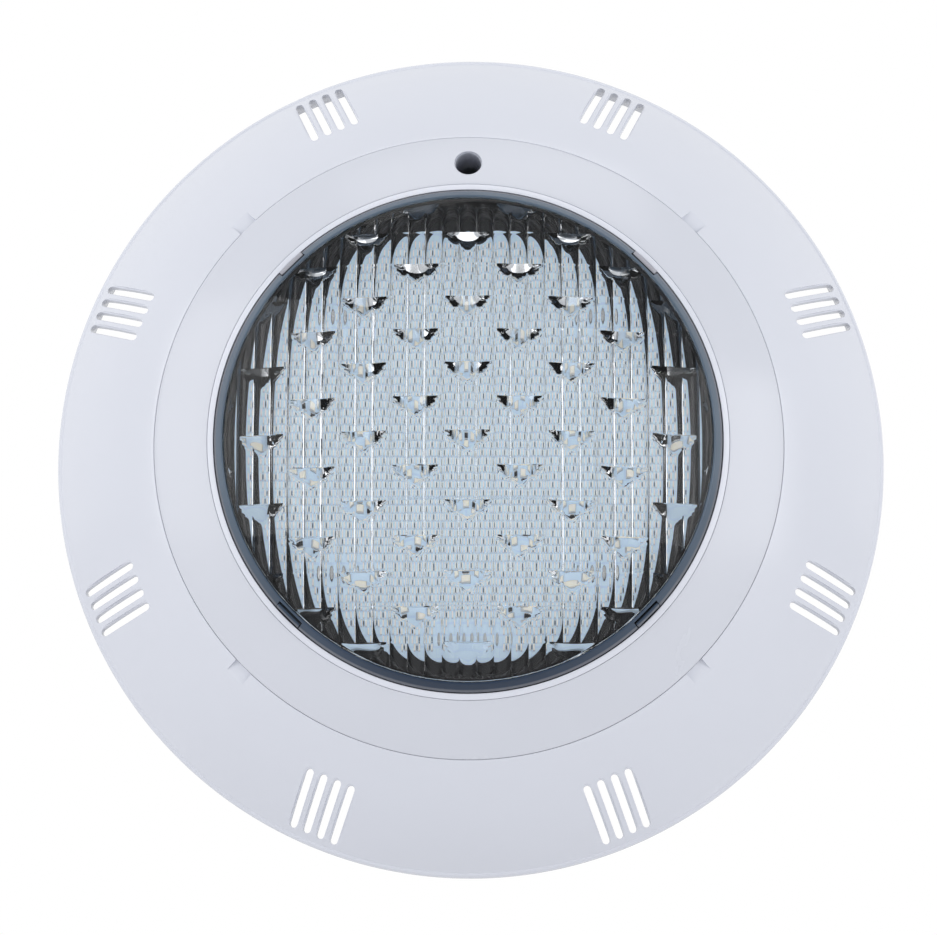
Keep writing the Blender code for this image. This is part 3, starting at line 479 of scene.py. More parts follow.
def solder_mask(name, mask, track, gloss, painted_glow=0.0):
    """Circuit board: lacquer over faint copper tracks. The white one is given painted light: a faint glow of
    its own colour, so it looks lit behind the lens.
    """
    look = Look(name, mask, gloss, Coat_Weight=0.25, Coat_Roughness=0.12, Emission_Strength=painted_glow)
    look.set("Emission Color", (*mask, 1.0))
    bricks = look.node("ShaderNodeTexBrick", Scale=62.0, Mortar_Size=0.03, Mortar_Smooth=0.3)
    turn = look.node("ShaderNodeMapping")
    turn.inputs["Rotation"].default_value = (math.pi / 2, 0, 0)
    look.link(look.coords, turn.inputs["Vector"])
    look.link(turn.outputs["Vector"], bricks.inputs["Vector"])
    dark, light = shades(mask, 0.03)
    base = look.ramp(look.noise(40, 4), dark, light)
    line = look.ramp(bricks.outputs["Fac"], 0.0, 1.0, 0.2, 0.8)
    edge = look.ramp(look.noise(200, 2), tuple(c * 0.97 for c in track), track)
    look.colour(look.mix(line, base, edge))
    look.roughness(look.ramp(look.noise(160, 3), gloss, gloss + 0.12))
    look.relief(line, 0.2, 0.04 * MM)
    return look.material


def winding():
    look = Look("copper_winding", (0.66, 0.27, 0.12), 0.3, Metallic=1.0)
    wires = look.node("ShaderNodeTexWave", Scale=420.0, Distortion=1.2, Detail=1.0)
    wires.wave_type = "RINGS"
    wires.rings_direction = "Y"
    look.link(look.coords, wires.inputs["Vector"])
    # Painted shade: the copper is darker in the grooves between the turns, following the same rings that
    # raise the wires.
    look.colour(look.ramp(wires.outputs["Fac"], (0.30, 0.10, 0.04), (0.72, 0.32, 0.15)))
    look.roughness(look.ramp(look.noise(300, 2), 0.22, 0.38))
    look.relief(wires.outputs["Fac"], 0.6, 0.2 * MM)
    return look.material


def phosphor():
    look = Look("led_phosphor", (0.94, 0.91, 0.82), 0.35, Subsurface_Weight=0.2, Emission_Strength=0.25)
    look.set("Emission Color", (1.0, 0.93, 0.75, 1.0))
    look.set("Subsurface Radius", (0.3 * MM, 0.25 * MM, 0.1 * MM))
    look.set("Subsurface Scale", 1.0)
    look.colour(look.ramp(look.noise(900, 2), (0.92, 0.88, 0.76), (0.96, 0.94, 0.87)))
    look.relief(look.noise(2500, 2), 0.1, 0.02 * MM)
    return look.material


def floor_finish():
    look = Look("pale_floor", (0.80, 0.80, 0.81), 0.55)
    look.colour(look.ramp(look.noise(3, 4), (0.78, 0.78, 0.79), (0.82, 0.82, 0.83)))
    return look.material


WHITE = (0.68, 0.70, 0.765)
WHITE_ABS = moulded("white_abs", WHITE, (0.16, 0.26), 1500, 0.012, IOR=1.53)
# Painted light: the ring and lip are copies of the one white plastic, the ring 6% darker as painted shade
# and the lip 7% lighter as painted light.
WHITE_RING = moulded("white_abs_ring", tuple(c * 0.94 for c in WHITE), (0.18, 0.28), 1700, 0.012, IOR=1.53)
WHITE_LIP = moulded("white_abs_lip", tuple(c * 1.07 for c in WHITE), (0.16, 0.26), 1600, 0.012, IOR=1.53)
GREY_ABS = moulded("grey_abs", (0.26, 0.28, 0.31), (0.35, 0.5), 1200, 0.05)
HOUSING = moulded("dark_housing", (0.012, 0.014, 0.017), (0.32, 0.48), 1300, 0.15)
BAND = dark_gloss()
# Painted light: a paler grey for the clips that face the light above.
PAINTED_LIT_CLIP = moulded("clip_grey_painted_lit", (0.40, 0.40, 0.44), (0.2, 0.3), 1500, 0.04)
CLEAR = clear_plastic()
RUBBER = moulded("seal_rubber", (0.015, 0.015, 0.016), (0.6, 0.8), 2200, 0.2)
STEEL = metal("stainless_steel", (0.58, 0.58, 0.57), (0.2, 0.38), (1, 6, 1))
BRASS = metal("brass", (0.70, 0.50, 0.22), (0.22, 0.4), (1, 8, 1))
PLATE = moulded("anodised_plate", (0.014, 0.015, 0.017), (0.45, 0.6), 1800, 0.2, Specular_IOR_Level=0.15)
# Painted light: the white board glows a little with its own colour.
BOARD = solder_mask("board_white", (0.62, 0.77, 0.92), (0.55, 0.70, 0.86), 0.32, 0.28)
GREEN_BOARD = solder_mask("board_green", (0.015, 0.14, 0.06), (0.03, 0.22, 0.10), 0.35)
EPOXY = moulded("black_epoxy", (0.012, 0.012, 0.013), (0.3, 0.5), 2600, 0.2)
LED_BODY = moulded("led_body", (0.78, 0.80, 0.80), (0.35, 0.5), 2600, 0.02)
PHOSPHOR = phosphor()
GREEN_PLASTIC = moulded("green_plastic", (0.03, 0.22, 0.08), (0.3, 0.45), 1500, 0.08)
RED_WIRE = moulded("red_wire", (0.42, 0.02, 0.015), (0.35, 0.5), 1500, 0.08)
BLACK_WIRE = moulded("black_wire", (0.015, 0.015, 0.016), (0.35, 0.5), 1500, 0.15)

CARRIED = {
    RUBBER: ["lens_gasket", "pilot_screw_seal"],
    STEEL: ["pilot_screw"] + [f"unit_screw_{i}" for i in range(1, 7)]
    + [f"board_screw_{i}" for i in range(1, 5)] + [f"driver_screw_{i}" for i in range(1, 4)],
    BRASS: ["bracket_insert"],
    PLATE: ["heat_plate"],
    GREEN_BOARD: ["driver_board"],
    winding(): ["choke_coil"],
    EPOXY: ["smoothing_capacitor", "bridge_rectifier", "driver_chip"],
    GREEN_PLASTIC: ["terminal_block"],
    RED_WIRE: ["led_lead_positive"],
    BLACK_WIRE: ["led_lead_negative"],
}
for carried_look, names in CARRIED.items():
    for carried in names:
        carried_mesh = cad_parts[carried].data
        carried_mesh.materials.clear()
        carried_mesh.materials.append(carried_look)


# ---------------------------------------------------------------- flange and ring
SLOT_GROUPS = 8
SLOTS_IN_GROUP = 4
SLOT_WIDTH = 2.7 * MM
SLOT_PITCH = 5.0 * MM
SLOT_LENGTH = 20.4 * MM
SLOT_TO_RIM = 3.6 * MM


def stadium(length, width, steps=7):
    """A slot's outline along x, each point with its outward direction."""
    reach = (length - width) / 2
    made = []
    for side in (1, -1):
        for a in spread(-math.pi / 2, math.pi / 2, steps):
            u, v = side * math.cos(a), side * math.sin(a)
            made.append((side * reach + width / 2 * u, width / 2 * v, u, v))
    return made


def turn_outline(outline, turn, move):
    """An outline moved in its own frame and then turned about the axis."""
    c, s = math.cos(turn), math.sin(turn)
    made = []
    for x, y, u, v in outline:
        x, y = x + move[0], y + move[1]
        made.append((c * x - s * y, s * x + c * y, c * u - s * v, s * u + c * v))
    return made


def slot_cutter():
    middle = RIM - SLOT_TO_RIM - SLOT_LENGTH / 2
    one = stadium(SLOT_LENGTH, SLOT_WIDTH)
    outlines = []
    for turn in around(SLOT_GROUPS, math.pi / SLOT_GROUPS):
        for i in range(SLOTS_IN_GROUP):
            aside = (i - (SLOTS_IN_GROUP - 1) / 2) * SLOT_PITCH
            outlines.append(turn_outline(one, turn, (middle, aside)))
    return surface_cutter("slots", outlines, 0.4 * MM, 1 * MM)


def side_plate(points, width, turns):
    """Plates whose outline is given in radius and depth, standing on the axis."""

    def fill(form):
        for turn in turns:
            sides = []
            for aside in (-width / 2, width / 2):
                sides.append([form.verts.new((
                    r * math.cos(turn) - aside * math.sin(turn),
                    r * math.sin(turn) + aside * math.cos(turn), z)) for r, z in points])
            for i in range(len(points)):
                j = (i + 1) % len(points)
                form.faces.new((sides[0][i], sides[0][j], sides[1][j], sides[1][i]))
            form.faces.new(list(reversed(sides[0])))
            form.faces.new(sides[1])
        bmesh.ops.recalc_face_normals(form, faces=form.faces)

    return fill


def pry_cutter():
    length, depth, width = 4.6 * MM, 2.0 * MM, 7.2 * MM
    inside = FLANGE_INNER - LEDGE_WIDTH / 2
    reach = FLANGE_INNER + length
    beyond = FLANGE_INNER + 2 * length
    high = face(inside) + 2 * depth
    climb = (face(reach) - face(FLANGE_INNER) + depth) / length
    ramp = [(r, face(reach) + climb * (r - reach)) for r in (inside, beyond)]
    return solid("pry", [side_plate(ramp + [(beyond, high), (inside, high)], width,
                                    around(4, math.pi / 4))])


def ribs():
    inner = SEAT_OUTER - SEAT_WALL / 2
    outer = RIM - SHELL_WALL / 2
    top = [(r, face(r, SHELL_WALL / 2)) for r in spread(outer, FLANGE_INNER + 0.5 * MM, 16)]
    side = [(outer, RIM_BACK + 3 * MM)] + top
    side += [(inner, face(FLANGE_INNER) - 2 * SHELL_WALL), (inner, WEB_BACK + 1 * MM)]
    return solid("ribs", [side_plate(side, 2 * MM, around(8, math.radians(7)))])


def make_flange():
    inner = FLANGE_INNER - (GAP - SEAM) / 2
    rim_edge = RIM - RIM_ROUNDING
    front = [(r, face(r)) for r in spread(inner, rim_edge, 30)]
    edge = face(rim_edge)
    rounding = [(rim_edge + RIM_ROUNDING * math.sin(a), edge - RIM_ROUNDING * (1 - math.cos(a)) * 1.6)
                for a in spread(math.pi / 12, math.pi / 2, 7)]
    skirt = RIM - SHELL_WALL
    under = [(r, face(r, SHELL_WALL)) for r in spread(skirt, SEAT_OUTER, 16)]
    seat = RING_WALL + GAP
    profile = front + rounding + [(RIM, RIM_BACK), (skirt, RIM_BACK)] + under
    profile += [(SEAT_OUTER, WEB_BACK), (WEB_INNER, WEB_BACK), (WEB_INNER, WEB_FRONT),
                (SEAT_INNER, WEB_FRONT), (SEAT_INNER, face(SEAT_INNER, seat)),
                (inner, face(inner, seat))]
    flange = turned("face_flange_shell", fillet(profile, 0.35 * MM))
    bosses = [rod(at(a, UNIT_CIRCLE), UNIT_SCREW_BOSS, WEB_BACK - 6 * MM, WEB_FRONT - WEB / 2, 32)
              for a in around(6)]
    bosses.append(rod((0, PILOT_Z), POST_OUTER / 2, POST_BACK, WEB_FRONT - WEB / 3))
    holes = [rod(at(a, UNIT_CIRCLE), UNIT_SCREW_HOLE, WEB_BACK - 4.5 * MM, LIP_FRONT, 24)
             for a in around(6)]
    join(flange, ribs())
    for n, fill in enumerate(bosses):
        join(flange, solid(f"boss_{n}", [fill]))
    cut(flange, solid("holes", holes))
    cut(flange, post_bore())
    cut(flange, slot_cutter())
    cut(flange, pry_cutter())
    return piece(flange, WHITE_ABS, "lamp", "white_abs", "face_flange")


def post_bore():
    socket = TUNNEL_OUTER / 2 + GAP
    chamber = 5.2 * MM
    hole = 2.3 * MM
    pocket = 4.5 * MM
    socket_back = face(PILOT_Z) - TUNNEL_DEPTH - GAP
    profile = [(0, LIP_FRONT), (socket, LIP_FRONT), (socket, socket_back), (chamber, socket_back),
               (chamber, POST_FLOOR[1]), (hole, POST_FLOOR[1]), (hole, POST_FLOOR[0]),
               (pocket, POST_FLOOR[0]), (pocket, 0), (0, 0)]
    made = turned("post_bore", profile, SMALL, loop=False)
    made.data.transform(Matrix.Translation((0, PILOT_Z, 0)))
    return made


def make_ring():
    outer = RING_OUTER + (GAP - SEAM) / 2
    inner = RING_INNER - (GAP - SEAM) / 2
    front = [(r, face(r)) for r in spread(inner, outer, 16)]
    under = [(r, face(r, RING_WALL)) for r in spread(outer, inner, 10)]
    ring = turned("retaining_ring_shell", fillet(front + under, 0.3 * MM))
    tunnel = solid("tunnel", [rod((0, PILOT_Z), TUNNEL_OUTER / 2,
                                  face(PILOT_Z) - TUNNEL_DEPTH, LIP_FRONT)])
    for vertex in tunnel.data.vertices:
        if vertex.co.z > LIP_FRONT - GAP:
            vertex.co.z = face(math.hypot(vertex.co.x, vertex.co.y), RING_WALL / 2)
    join(ring, tunnel)
    tongue_inner = TONGUE_OUTER - TONGUE_WALL
    top = face(tongue_inner, RING_WALL / 2)
    bottom = WEB_FRONT + 2 * MM
    middle = ((tongue_inner + TONGUE_OUTER) / 2, 0, (top + bottom) / 2)
    size = (TONGUE_WALL, TONGUE_WIDTH, top - bottom)
    for turn in around(4, math.pi / 4):
        join(ring, solid("tongue", [block(size, middle, turn, 0.3 * MM)]))
    cut(ring, solid("bore", [rod(
        (0, PILOT_Z), PILOT_BORE / 2, face(PILOT_Z) - TUNNEL_DEPTH - 1 * MM,
        face(PILOT_Z) + 6 * MM, end_radius=PILOT_BORE_END / 2)]))
    mouth = [(PILOT_BORE / 2 * math.cos(a), PILOT_Z + PILOT_BORE / 2 * math.sin(a),
              math.cos(a), math.sin(a)) for a in around(SMALL)]
    cut(ring, surface_cutter("mouth", [mouth], 0.5 * MM, face(PILOT_Z) - 4 * MM))
    return piece(ring, WHITE_RING, "ring", "white_abs", "retaining_ring")


# ---------------------------------------------------------------- bezel, band and clips
def ear_holes():
    fills = [rod(at(a, UNIT_CIRCLE), UNIT_SCREW_HOLE, WEB_BACK, LIP_FRONT, 24) for a in around(6)]
    fills.append(rod((0, PILOT_Z), TUNNEL_OUTER / 2 + GAP, WEB_BACK, LIP_FRONT))
    return solid("ear_holes", fills)


def make_bezel():
    under_ring = RING_WALL + GAP + 0.2 * MM
    bore = LENS_FOOT + GAP
    outer = bore + 1.5 * MM
    ear_back = EAR_FRONT + GAP
    ear_front = ear_back + 2 * MM
    lip = LIP_OUTER + (GAP - SEAM) / 2
    profile = [(OPENING, LIP_FRONT), (lip, face(lip)),
               (lip, face(lip, under_ring)), (outer, face(outer, under_ring)),
               (outer, ear_front), (EAR, ear_front), (EAR, ear_back), (bore, ear_back),
               (bore, LIP_BACK), (OPENING, LIP_BACK)]
    bezel = turned("lens_bezel_lip", fillet(profile, 0.3 * MM))
    cut(bezel, ear_holes())
    return piece(bezel, WHITE_LIP, "lamp", "white_abs", "lens_bezel")


def make_band():
    """Slopes from the lens's shoulder down to the lip, with a small chamfer at its outer edge."""
    chamfer = 0.7 * MM
    profile = [(BAND_INNER, SHOULDER + GAP), (BAND_INNER + chamfer, SHOULDER + GAP),
               (BAND_OUTER - chamfer, LIP_FRONT + 2 * chamfer), (BAND_OUTER, LIP_FRONT + 0.2 * MM),
               (BAND_OUTER, LIP_BACK), (BAND_INNER, LIP_BACK)]
    band = turned("lens_ring_gloss", fillet(profile, 0.7 * MM, 0.2, 5))
    low, high = CLIP_BACK - GAP, SHOULDER + 2 * MM
    inner = BAND_OUTER - CLIP_WALL - 2 * GAP
    outer = BAND_OUTER + 1 * MM
    size = (outer - inner, CLIP_WIDTH + 2 * GAP, high - low)
    centre = ((inner + outer) / 2, 0, (low + high) / 2)
    for turn in around(4, math.pi / 4):
        cut(band, solid("notch", [block(size, centre, turn)]))
    return piece(band, BAND, "lamp", "dark_band", "lens_ring", angle=0.45)


def make_clips():
    wall = CLIP_WALL - 0.2 * MM
    middle = BAND_OUTER - CLIP_WALL / 2 - 0.1 * MM
    size = (wall, CLIP_WIDTH, CLIP_FRONT - CLIP_BACK)
    centre = (middle, 0, (CLIP_FRONT + CLIP_BACK) / 2)
    for i, turn in enumerate(around(4, math.pi / 4)):
        made = solid(f"lens_latch_{i + 1}", [block(size, centre, turn, 0.25 * MM)])
        # Painted light: the two upper clips get the paler grey as if lit from above, and the lower ones the
        # dark band's colour.
        upper = math.sin(turn) > 0
        piece(made, PAINTED_LIT_CLIP if upper else BAND, "lamp", "dark_band", f"lens_clip_{i + 1}")


# ---------------------------------------------------------------- lens
COLUMN = 17.1 * MM              # spacing of the columns of bumps
FLUTE = COLUMN / 3
ROW = 11.45 * MM                # spacing of the rows of bumps, which alternate between columns
FIRST_ROW = 69.0 * MM
FLUTE_ARC = 3.65 * MM            # radius of curvature at a flute's middle
COLUMN_ARC = 140.0 * MM
BUMP_RISE = 3.7 * MM            # height in a bump's middle, falling to nothing over its length
BUMP_LENGTH = 7.7 * MM
BUMP_DROP = 2.75 * MM            # from the middle to the bump's ends
BUMP_HALF = 7.1 * MM
CROWN = APEX - SHOULDER
DOME = (LENS_RADIUS**2 + CROWN**2) / (2 * CROWN)
LENS_INNER = LENS_RADIUS - 1.4 * MM


def dome(radius, below=0.0):
    """Depth of the lens's outside at this radius, or of the surface this far under it."""
    return APEX - DOME + math.sqrt((DOME - below) ** 2 - radius * radius)


def sag(arc, half, aside):
    """Height of a parabola of this half width, at this distance from its middle."""
    return (half * half - aside * aside) / (2 * arc)


def flutes(x):
    """Height of the ridges between the upright hollow flutes, three to a column."""
    column = round(x / COLUMN)
    aside = x - column * COLUMN
    flute = round(aside / FLUTE)
    aside = min(COLUMN / 2, max(-COLUMN / 2, aside))
    across = min(FLUTE / 2, max(-FLUTE / 2, aside - flute * FLUTE))
    return across * across / (2 * FLUTE_ARC) + sag(COLUMN_ARC, COLUMN / 2, aside)


def bump(x, y, shelf_side):
    """Height of the prism bumps. Each has a flat shelf above and a bowl that runs out below."""
    column = round(x / COLUMN)
    aside = abs(x - column * COLUMN)
    row = math.floor((FIRST_ROW - y) / ROW + 1e-6)
    if shelf_side > 0 and abs((FIRST_ROW - y) / ROW - round((FIRST_ROW - y) / ROW)) < 1e-6:
        row -= 1
    if (row + column) % 2:
        return 0.0
    down = FIRST_ROW - row * ROW - y
    return BUMP_RISE * (1 - down / BUMP_LENGTH) - BUMP_DROP * (aside / BUMP_HALF) ** 2


ROWS = range(-2, 14)


def lens_lines():
    """Grid lines: close together across each flute, and doubled at each row's shelf."""
    across = []
    flute_count = int(LENS_INNER / FLUTE) + 1
    for flute in range(-flute_count, flute_count + 1):
        across += [flute * FLUTE + FLUTE / 2 * math.sin(a)
                   for a in spread(-math.pi / 2, math.pi / 2, 11)[:-1]]
    across = [x for x in across if abs(x) < LENS_INNER - 0.05 * MM]
    across = [-LENS_INNER] + across + [LENS_INNER]
    up = []
    for row in ROWS:
        top = FIRST_ROW - row * ROW
        up += [(top, 1), (top, -1)]
        up += [(y, 0) for y in spread(top, top - ROW, 19)[1:-1]]
    return across, [(y, side) for y, side in up if abs(y) < LENS_INNER]


def make_lens():
    across, up = lens_lines()
    up = [(LENS_INNER, 0)] + up + [(-LENS_INNER, 0)]
    form = bmesh.new()
    grid = []
    shelf = 0.03 * MM
    for x in across:
        reach = math.sqrt(max(0.0, LENS_INNER**2 - x * x))
        line = []
        for y, side in up:
            place = min(reach, max(-reach, y))
            rise = max(flutes(x), bump(x, place, side)) if place == y else max(
                flutes(x), bump(x, place, 0))
            z = dome(math.hypot(x, place), LENS_WALL) - rise
            line.append(form.verts.new((x, place + (shelf if side > 0 and place == y else 0), z)))
        grid.append(line)
    for left, right in zip(grid, grid[1:]):
        for i in range(len(up) - 1):
            form.faces.new((left[i], left[i + 1], right[i + 1], right[i]))
    bmesh.ops.remove_doubles(form, verts=form.verts, dist=0.004 * MM)
    bmesh.ops.dissolve_degenerate(form, dist=0.002 * MM, edges=form.edges)
    rim = [e for e in form.edges if e.is_boundary]
    walls = bmesh.ops.extrude_edge_only(form, edges=rim)
    foot_loop = [v for v in walls["geom"] if isinstance(v, bmesh.types.BMVert)]
    for vertex in foot_loop:
        vertex.co.z = FOOT_BACK
    foot_edges = [e for e in walls["geom"] if isinstance(e, bmesh.types.BMEdge)
                  and all(v.co.z == foot_loop[0].co.z for v in e.verts)]
    outside = [(r, dome(r)) for r in spread(0, LENS_RADIUS - 0.8 * MM, 40)]
    side = fillet([outside[-1], (LENS_RADIUS, SHOULDER), (LENS_RADIUS, FOOT_FRONT),
                   (LENS_FOOT, FOOT_FRONT), (LENS_FOOT, FOOT_BACK)], 0.8 * MM, 0.35, 5, False)
    before = set(form.edges)
    revolve(form, outside[:-1] + side, ROUND, loop=False)
    outer_edges = [e for e in form.edges if e not in before and e.is_boundary
                   and abs(e.verts[0].co.z - FOOT_BACK) < 1e-7]
    bmesh.ops.triangle_fill(form, use_beauty=False, use_dissolve=False,
                            edges=foot_edges + outer_edges, normal=(0, 0, -1))
    bmesh.ops.recalc_face_normals(form, faces=form.faces)
    open_edges = sum(1 for e in form.edges if not e.is_manifold)
    print("lens faces", len(form.faces), "open edges", open_edges)
    return piece(new_object("fluted_lens", form), CLEAR, "lamp", "clear_polycarbonate", "lens",
                 angle=0.42)


# ---------------------------------------------------------------- LED board
LED_PITCH = 5.4 * MM
LED_ROW = 2.75 * MM
LED_SIZE = (2.0 * MM, 2.7 * MM, 0.7 * MM)
SCREW_CIRCLE = 62.0 * MM
SCREW_ROOM = 3.6 * MM           # kept free round each board screw and lead
LED_ROOM = 2.4 * MM
CHIP_ROOM = 1.2 * MM
CHIP_SIZE = (1.3 * MM, 1.4 * MM, 0.6 * MM)
CHIP_END = (1.3 * MM, 0.36 * MM, 0.5 * MM)
LEAD_PLACES = [(-5 * MM, -66 * MM), (5 * MM, -66 * MM)]


def is_free(x, y, room):
    """True where nothing else stands on the LED board."""
    if math.hypot(x, y) > BOARD_RADIUS - room:
        return False
    screws = [at(a, SCREW_CIRCLE) for a in around(4, math.pi / 4)]
    return all(math.hypot(x - u, y - v) > SCREW_ROOM + room for u, v in screws + LEAD_PLACES)


def led_places():
    """Places of the LEDs in staggered rows, with their column and row numbers."""
    rows = int(BOARD_RADIUS / LED_ROW) + 1
    for j in range(-rows, rows + 1):
        shift = LED_PITCH / 2 if j % 2 else 0.0
        for i in range(-rows, rows + 1):
            x, y = i * LED_PITCH + shift, j * LED_ROW
            if is_free(x, y, LED_ROOM):
                yield x, y, i, j


def make_board():
    profile = [(0, BOARD_FRONT), (BOARD_RADIUS, BOARD_FRONT), (BOARD_RADIUS, BOARD_BACK), (0, BOARD_BACK)]
    board = turned("led_board_disc", fillet(profile, 0.15 * MM, 0.35, 2, False), 192, loop=False)
    holes = [rod(at(a, SCREW_CIRCLE), SMALL_SCREW_HOLE, 0, LIP_FRONT, 24) for a in around(4, math.pi / 4)]
    holes += [rod(place, SMALL_SCREW_HOLE, 0, LIP_FRONT, 24) for place in LEAD_PLACES]
    cut(board, solid("board_holes", holes))
    piece(board, BOARD, "lamp", "board_white", "led_board")
    wide, tall, high = LED_SIZE
    base = BOARD_FRONT + 0.02 * MM
    leds = [(x, y) for x, y, i, j in led_places()]
    chips = [(x + LED_PITCH / 2, y) for x, y, i, j in led_places()
             if (i + 2 * j) % 3 == 0 and is_free(x + LED_PITCH / 2, y, CHIP_ROOM)]
    ends = [(x, y + side * 0.9 * MM) for x, y in chips for side in (-1, 1)]
    body = block((wide, tall, high), (0, 0, base + high / 2), 0, 0.12 * MM)
    light = block((wide * 0.78, tall * 0.74, 0.16 * MM), (0, 0.12 * MM, base + high + 0.04 * MM), 0,
                  0.05 * MM)
    chip = block(CHIP_SIZE, (0, 0, base + CHIP_SIZE[2] / 2), 0, 0.08 * MM)
    end = block(CHIP_END, (0, 0, base + CHIP_END[2] / 2), 0, 0.06 * MM)
    piece(repeated("led_bodies", body, leds), LED_BODY, "lamp", "board_white")
    piece(repeated("led_domes", light, leds), PHOSPHOR, "lamp", "board_white")
    piece(repeated("board_resistors", chip, chips), EPOXY, "lamp", "black_component")
    piece(repeated("resistor_ends", end, ends), STEEL, "lamp", "stainless_steel")
    dabs = [(0, 1.6), (1.2, 1.5), (2.0, 1.0), (2.3, 0.3), (2.3, 0.0), (0, 0)]
    for n, (x, y) in enumerate(LEAD_PLACES):
        dab = turned(f"sealant_{n + 1}", [(r * MM, BOARD_FRONT + (0.02 + h) * MM) for r, h in dabs], 32,
                     loop=False)
        dab.data.transform(Matrix.Translation((x, y, 0)))
        piece(dab, LED_BODY, "lamp", "board_white")


# ---------------------------------------------------------------- lamp housing
def make_housing():
    bore = LENS_RADIUS - LENS_WALL - GAP
    outer = bore + 3.5 * MM
    back_outer = outer - 6 * MM
    back = 12 * MM
    floor = 15 * MM
    ledge_inner = bore - 4.5 * MM
    ledge = PLATE_BACK - GAP
    corner = 5 * MM
    inner_corner = back_outer - 3 * MM
    profile = [(bore, HOUSING_FRONT), (LENS_FOOT, HOUSING_FRONT), (LENS_FOOT, EAR_FRONT),
               (EAR, EAR_FRONT), (EAR, EAR_BACK), (outer, EAR_BACK), (back_outer, back + corner)]
    profile += [(back_outer - corner * (1 - math.cos(a)), back + corner * (1 - math.sin(a)))
                for a in spread(math.pi / 16, math.pi / 2, 8)]
    profile += [(0, back), (0, floor), (inner_corner - corner, floor), (inner_corner, floor + corner),
                (ledge_inner, ledge - 4 * MM), (ledge_inner, ledge), (bore, ledge)]
    housing = turned("lamp_housing_shell", fillet(profile, 0.3 * MM, 0.5), 192, loop=True)
    foot = (14.4 * MM, 3.6 * MM, 8.5 * MM)
    feet = [block(foot, (side * SOCKET[0], SOCKET[1], 9.75 * MM), 0, 0.4 * MM) for side in (-1, 1)]
    boss = solid("gland_seat", [rod((0, 0), 12.5 * MM, -12.5 * MM, 0, 64)])
    boss.data.transform(GLAND_TO_FACE)
    hole = solid("gland_opening", [rod((0, 0), 8.2 * MM, -25 * MM, 5 * MM)])
    hole.data.transform(GLAND_TO_FACE)
    join(housing, boss)
    for fill in feet:
        join(housing, solid("foot", [fill]))
    cut(housing, hole)
    cut(housing, ear_holes())
    return piece(housing, HOUSING, "lamp", "dark_housing", "lamp_housing")


# ---------------------------------------------------------------- cable gland and bracket
SOCKET = (32.0 * MM, -36.0 * MM)
GLAND_Y = -85.5 * MM
GLAND_DEPTH = 27.5 * MM
GLAND_TO_FACE = Matrix.Translation((0, GLAND_Y, GLAND_DEPTH)) @ Matrix.Rotation(math.pi / 2, 4, "X")


def on_gland(made, look, body, slot, node):
    made.data.transform(GLAND_TO_FACE)
    return piece(made, look, body, slot, node)


def make_gland():
    """Body, sealing ring, rubber bush and dome nut. z runs out of the housing."""
    hex_back, hex_front, neck = 2.4 * MM, 7.4 * MM, 16.0 * MM
    bore, shelf, bush = 5.0 * MM, 8.4 * MM, 6.4 * MM
    thread = [(bore, -10 * MM), (7.9 * MM, -10 * MM)]
    turns = 8
    for i in range(turns):
        z = (-9.5 + i * 1.4) * MM
        thread += [(7.9 * MM, z), (7.3 * MM, z + 0.45 * MM), (7.9 * MM, z + 0.9 * MM)]
    side = [(8.2 * MM, hex_back + 2 * MM), (8.2 * MM, neck), (bush, neck), (bush, shelf), (bore, shelf)]
    body = turned("gland_stem", thread + side, 64)
    hexagon = solid("gland_hexagon", [rod((0, 0), 12 * MM, hex_back, hex_front, 6)])
    rounder = turned("hex_rounder", [(0, hex_back), (10.9 * MM, hex_back), (12.1 * MM, hex_back + 0.7 * MM),
                                     (12.1 * MM, hex_front - 0.7 * MM), (10.9 * MM, hex_front),
                                     (0, hex_front)], 64, loop=False)
    combine(hexagon, rounder, "INTERSECT")
    cut(hexagon, solid("hex_bore", [rod((0, 0), 6.6 * MM, 0, neck)]))
    join(body, hexagon)
    on_gland(body, GREY_ABS, "lamp", "grey_abs", "gland_body")
    ring = [(8.2 * MM, 2.1 * MM), (10.9 * MM, 2.1 * MM), (10.9 * MM, GAP), (8.2 * MM, GAP)]
    on_gland(turned("gland_sealing_ring", fillet(ring, 0.8 * MM, 0.3, 6), 64), RUBBER, "lamp", "seal_rubber",
             "gland_o_ring")
    hole, out, front = 3.5 * MM, bush - GAP, 17.5 * MM
    plug = [(hole, front), (out - 1.5 * MM, front), (out, neck), (out, shelf + GAP), (hole, shelf + GAP)]
    on_gland(turned("gland_bush", fillet(plug, 0.3 * MM), 64), RUBBER, "lamp", "seal_rubber", "gland_seal")
    inside, outside, end = 8.5 * MM, 11.3 * MM, 20.5 * MM
    shell = [(4.5 * MM, end), (outside - 4 * MM, end), (outside, end - 4 * MM), (outside, hex_front + GAP),
             (inside, hex_front + GAP), (inside, neck + GAP), (out, front + GAP), (4.5 * MM, front + GAP)]
    nut = turned("gland_dome", fillet(shell, 0.8 * MM, 0.3, 5), 96)
    grips = [rod(at(a, outside + 0.7 * MM), 1.2 * MM, hex_front + 1.5 * MM, end, 12) for a in around(16)]
    cut(nut, solid("grips", grips))
    on_gland(nut, GREY_ABS, "nut", "grey_abs", "gland_nut")


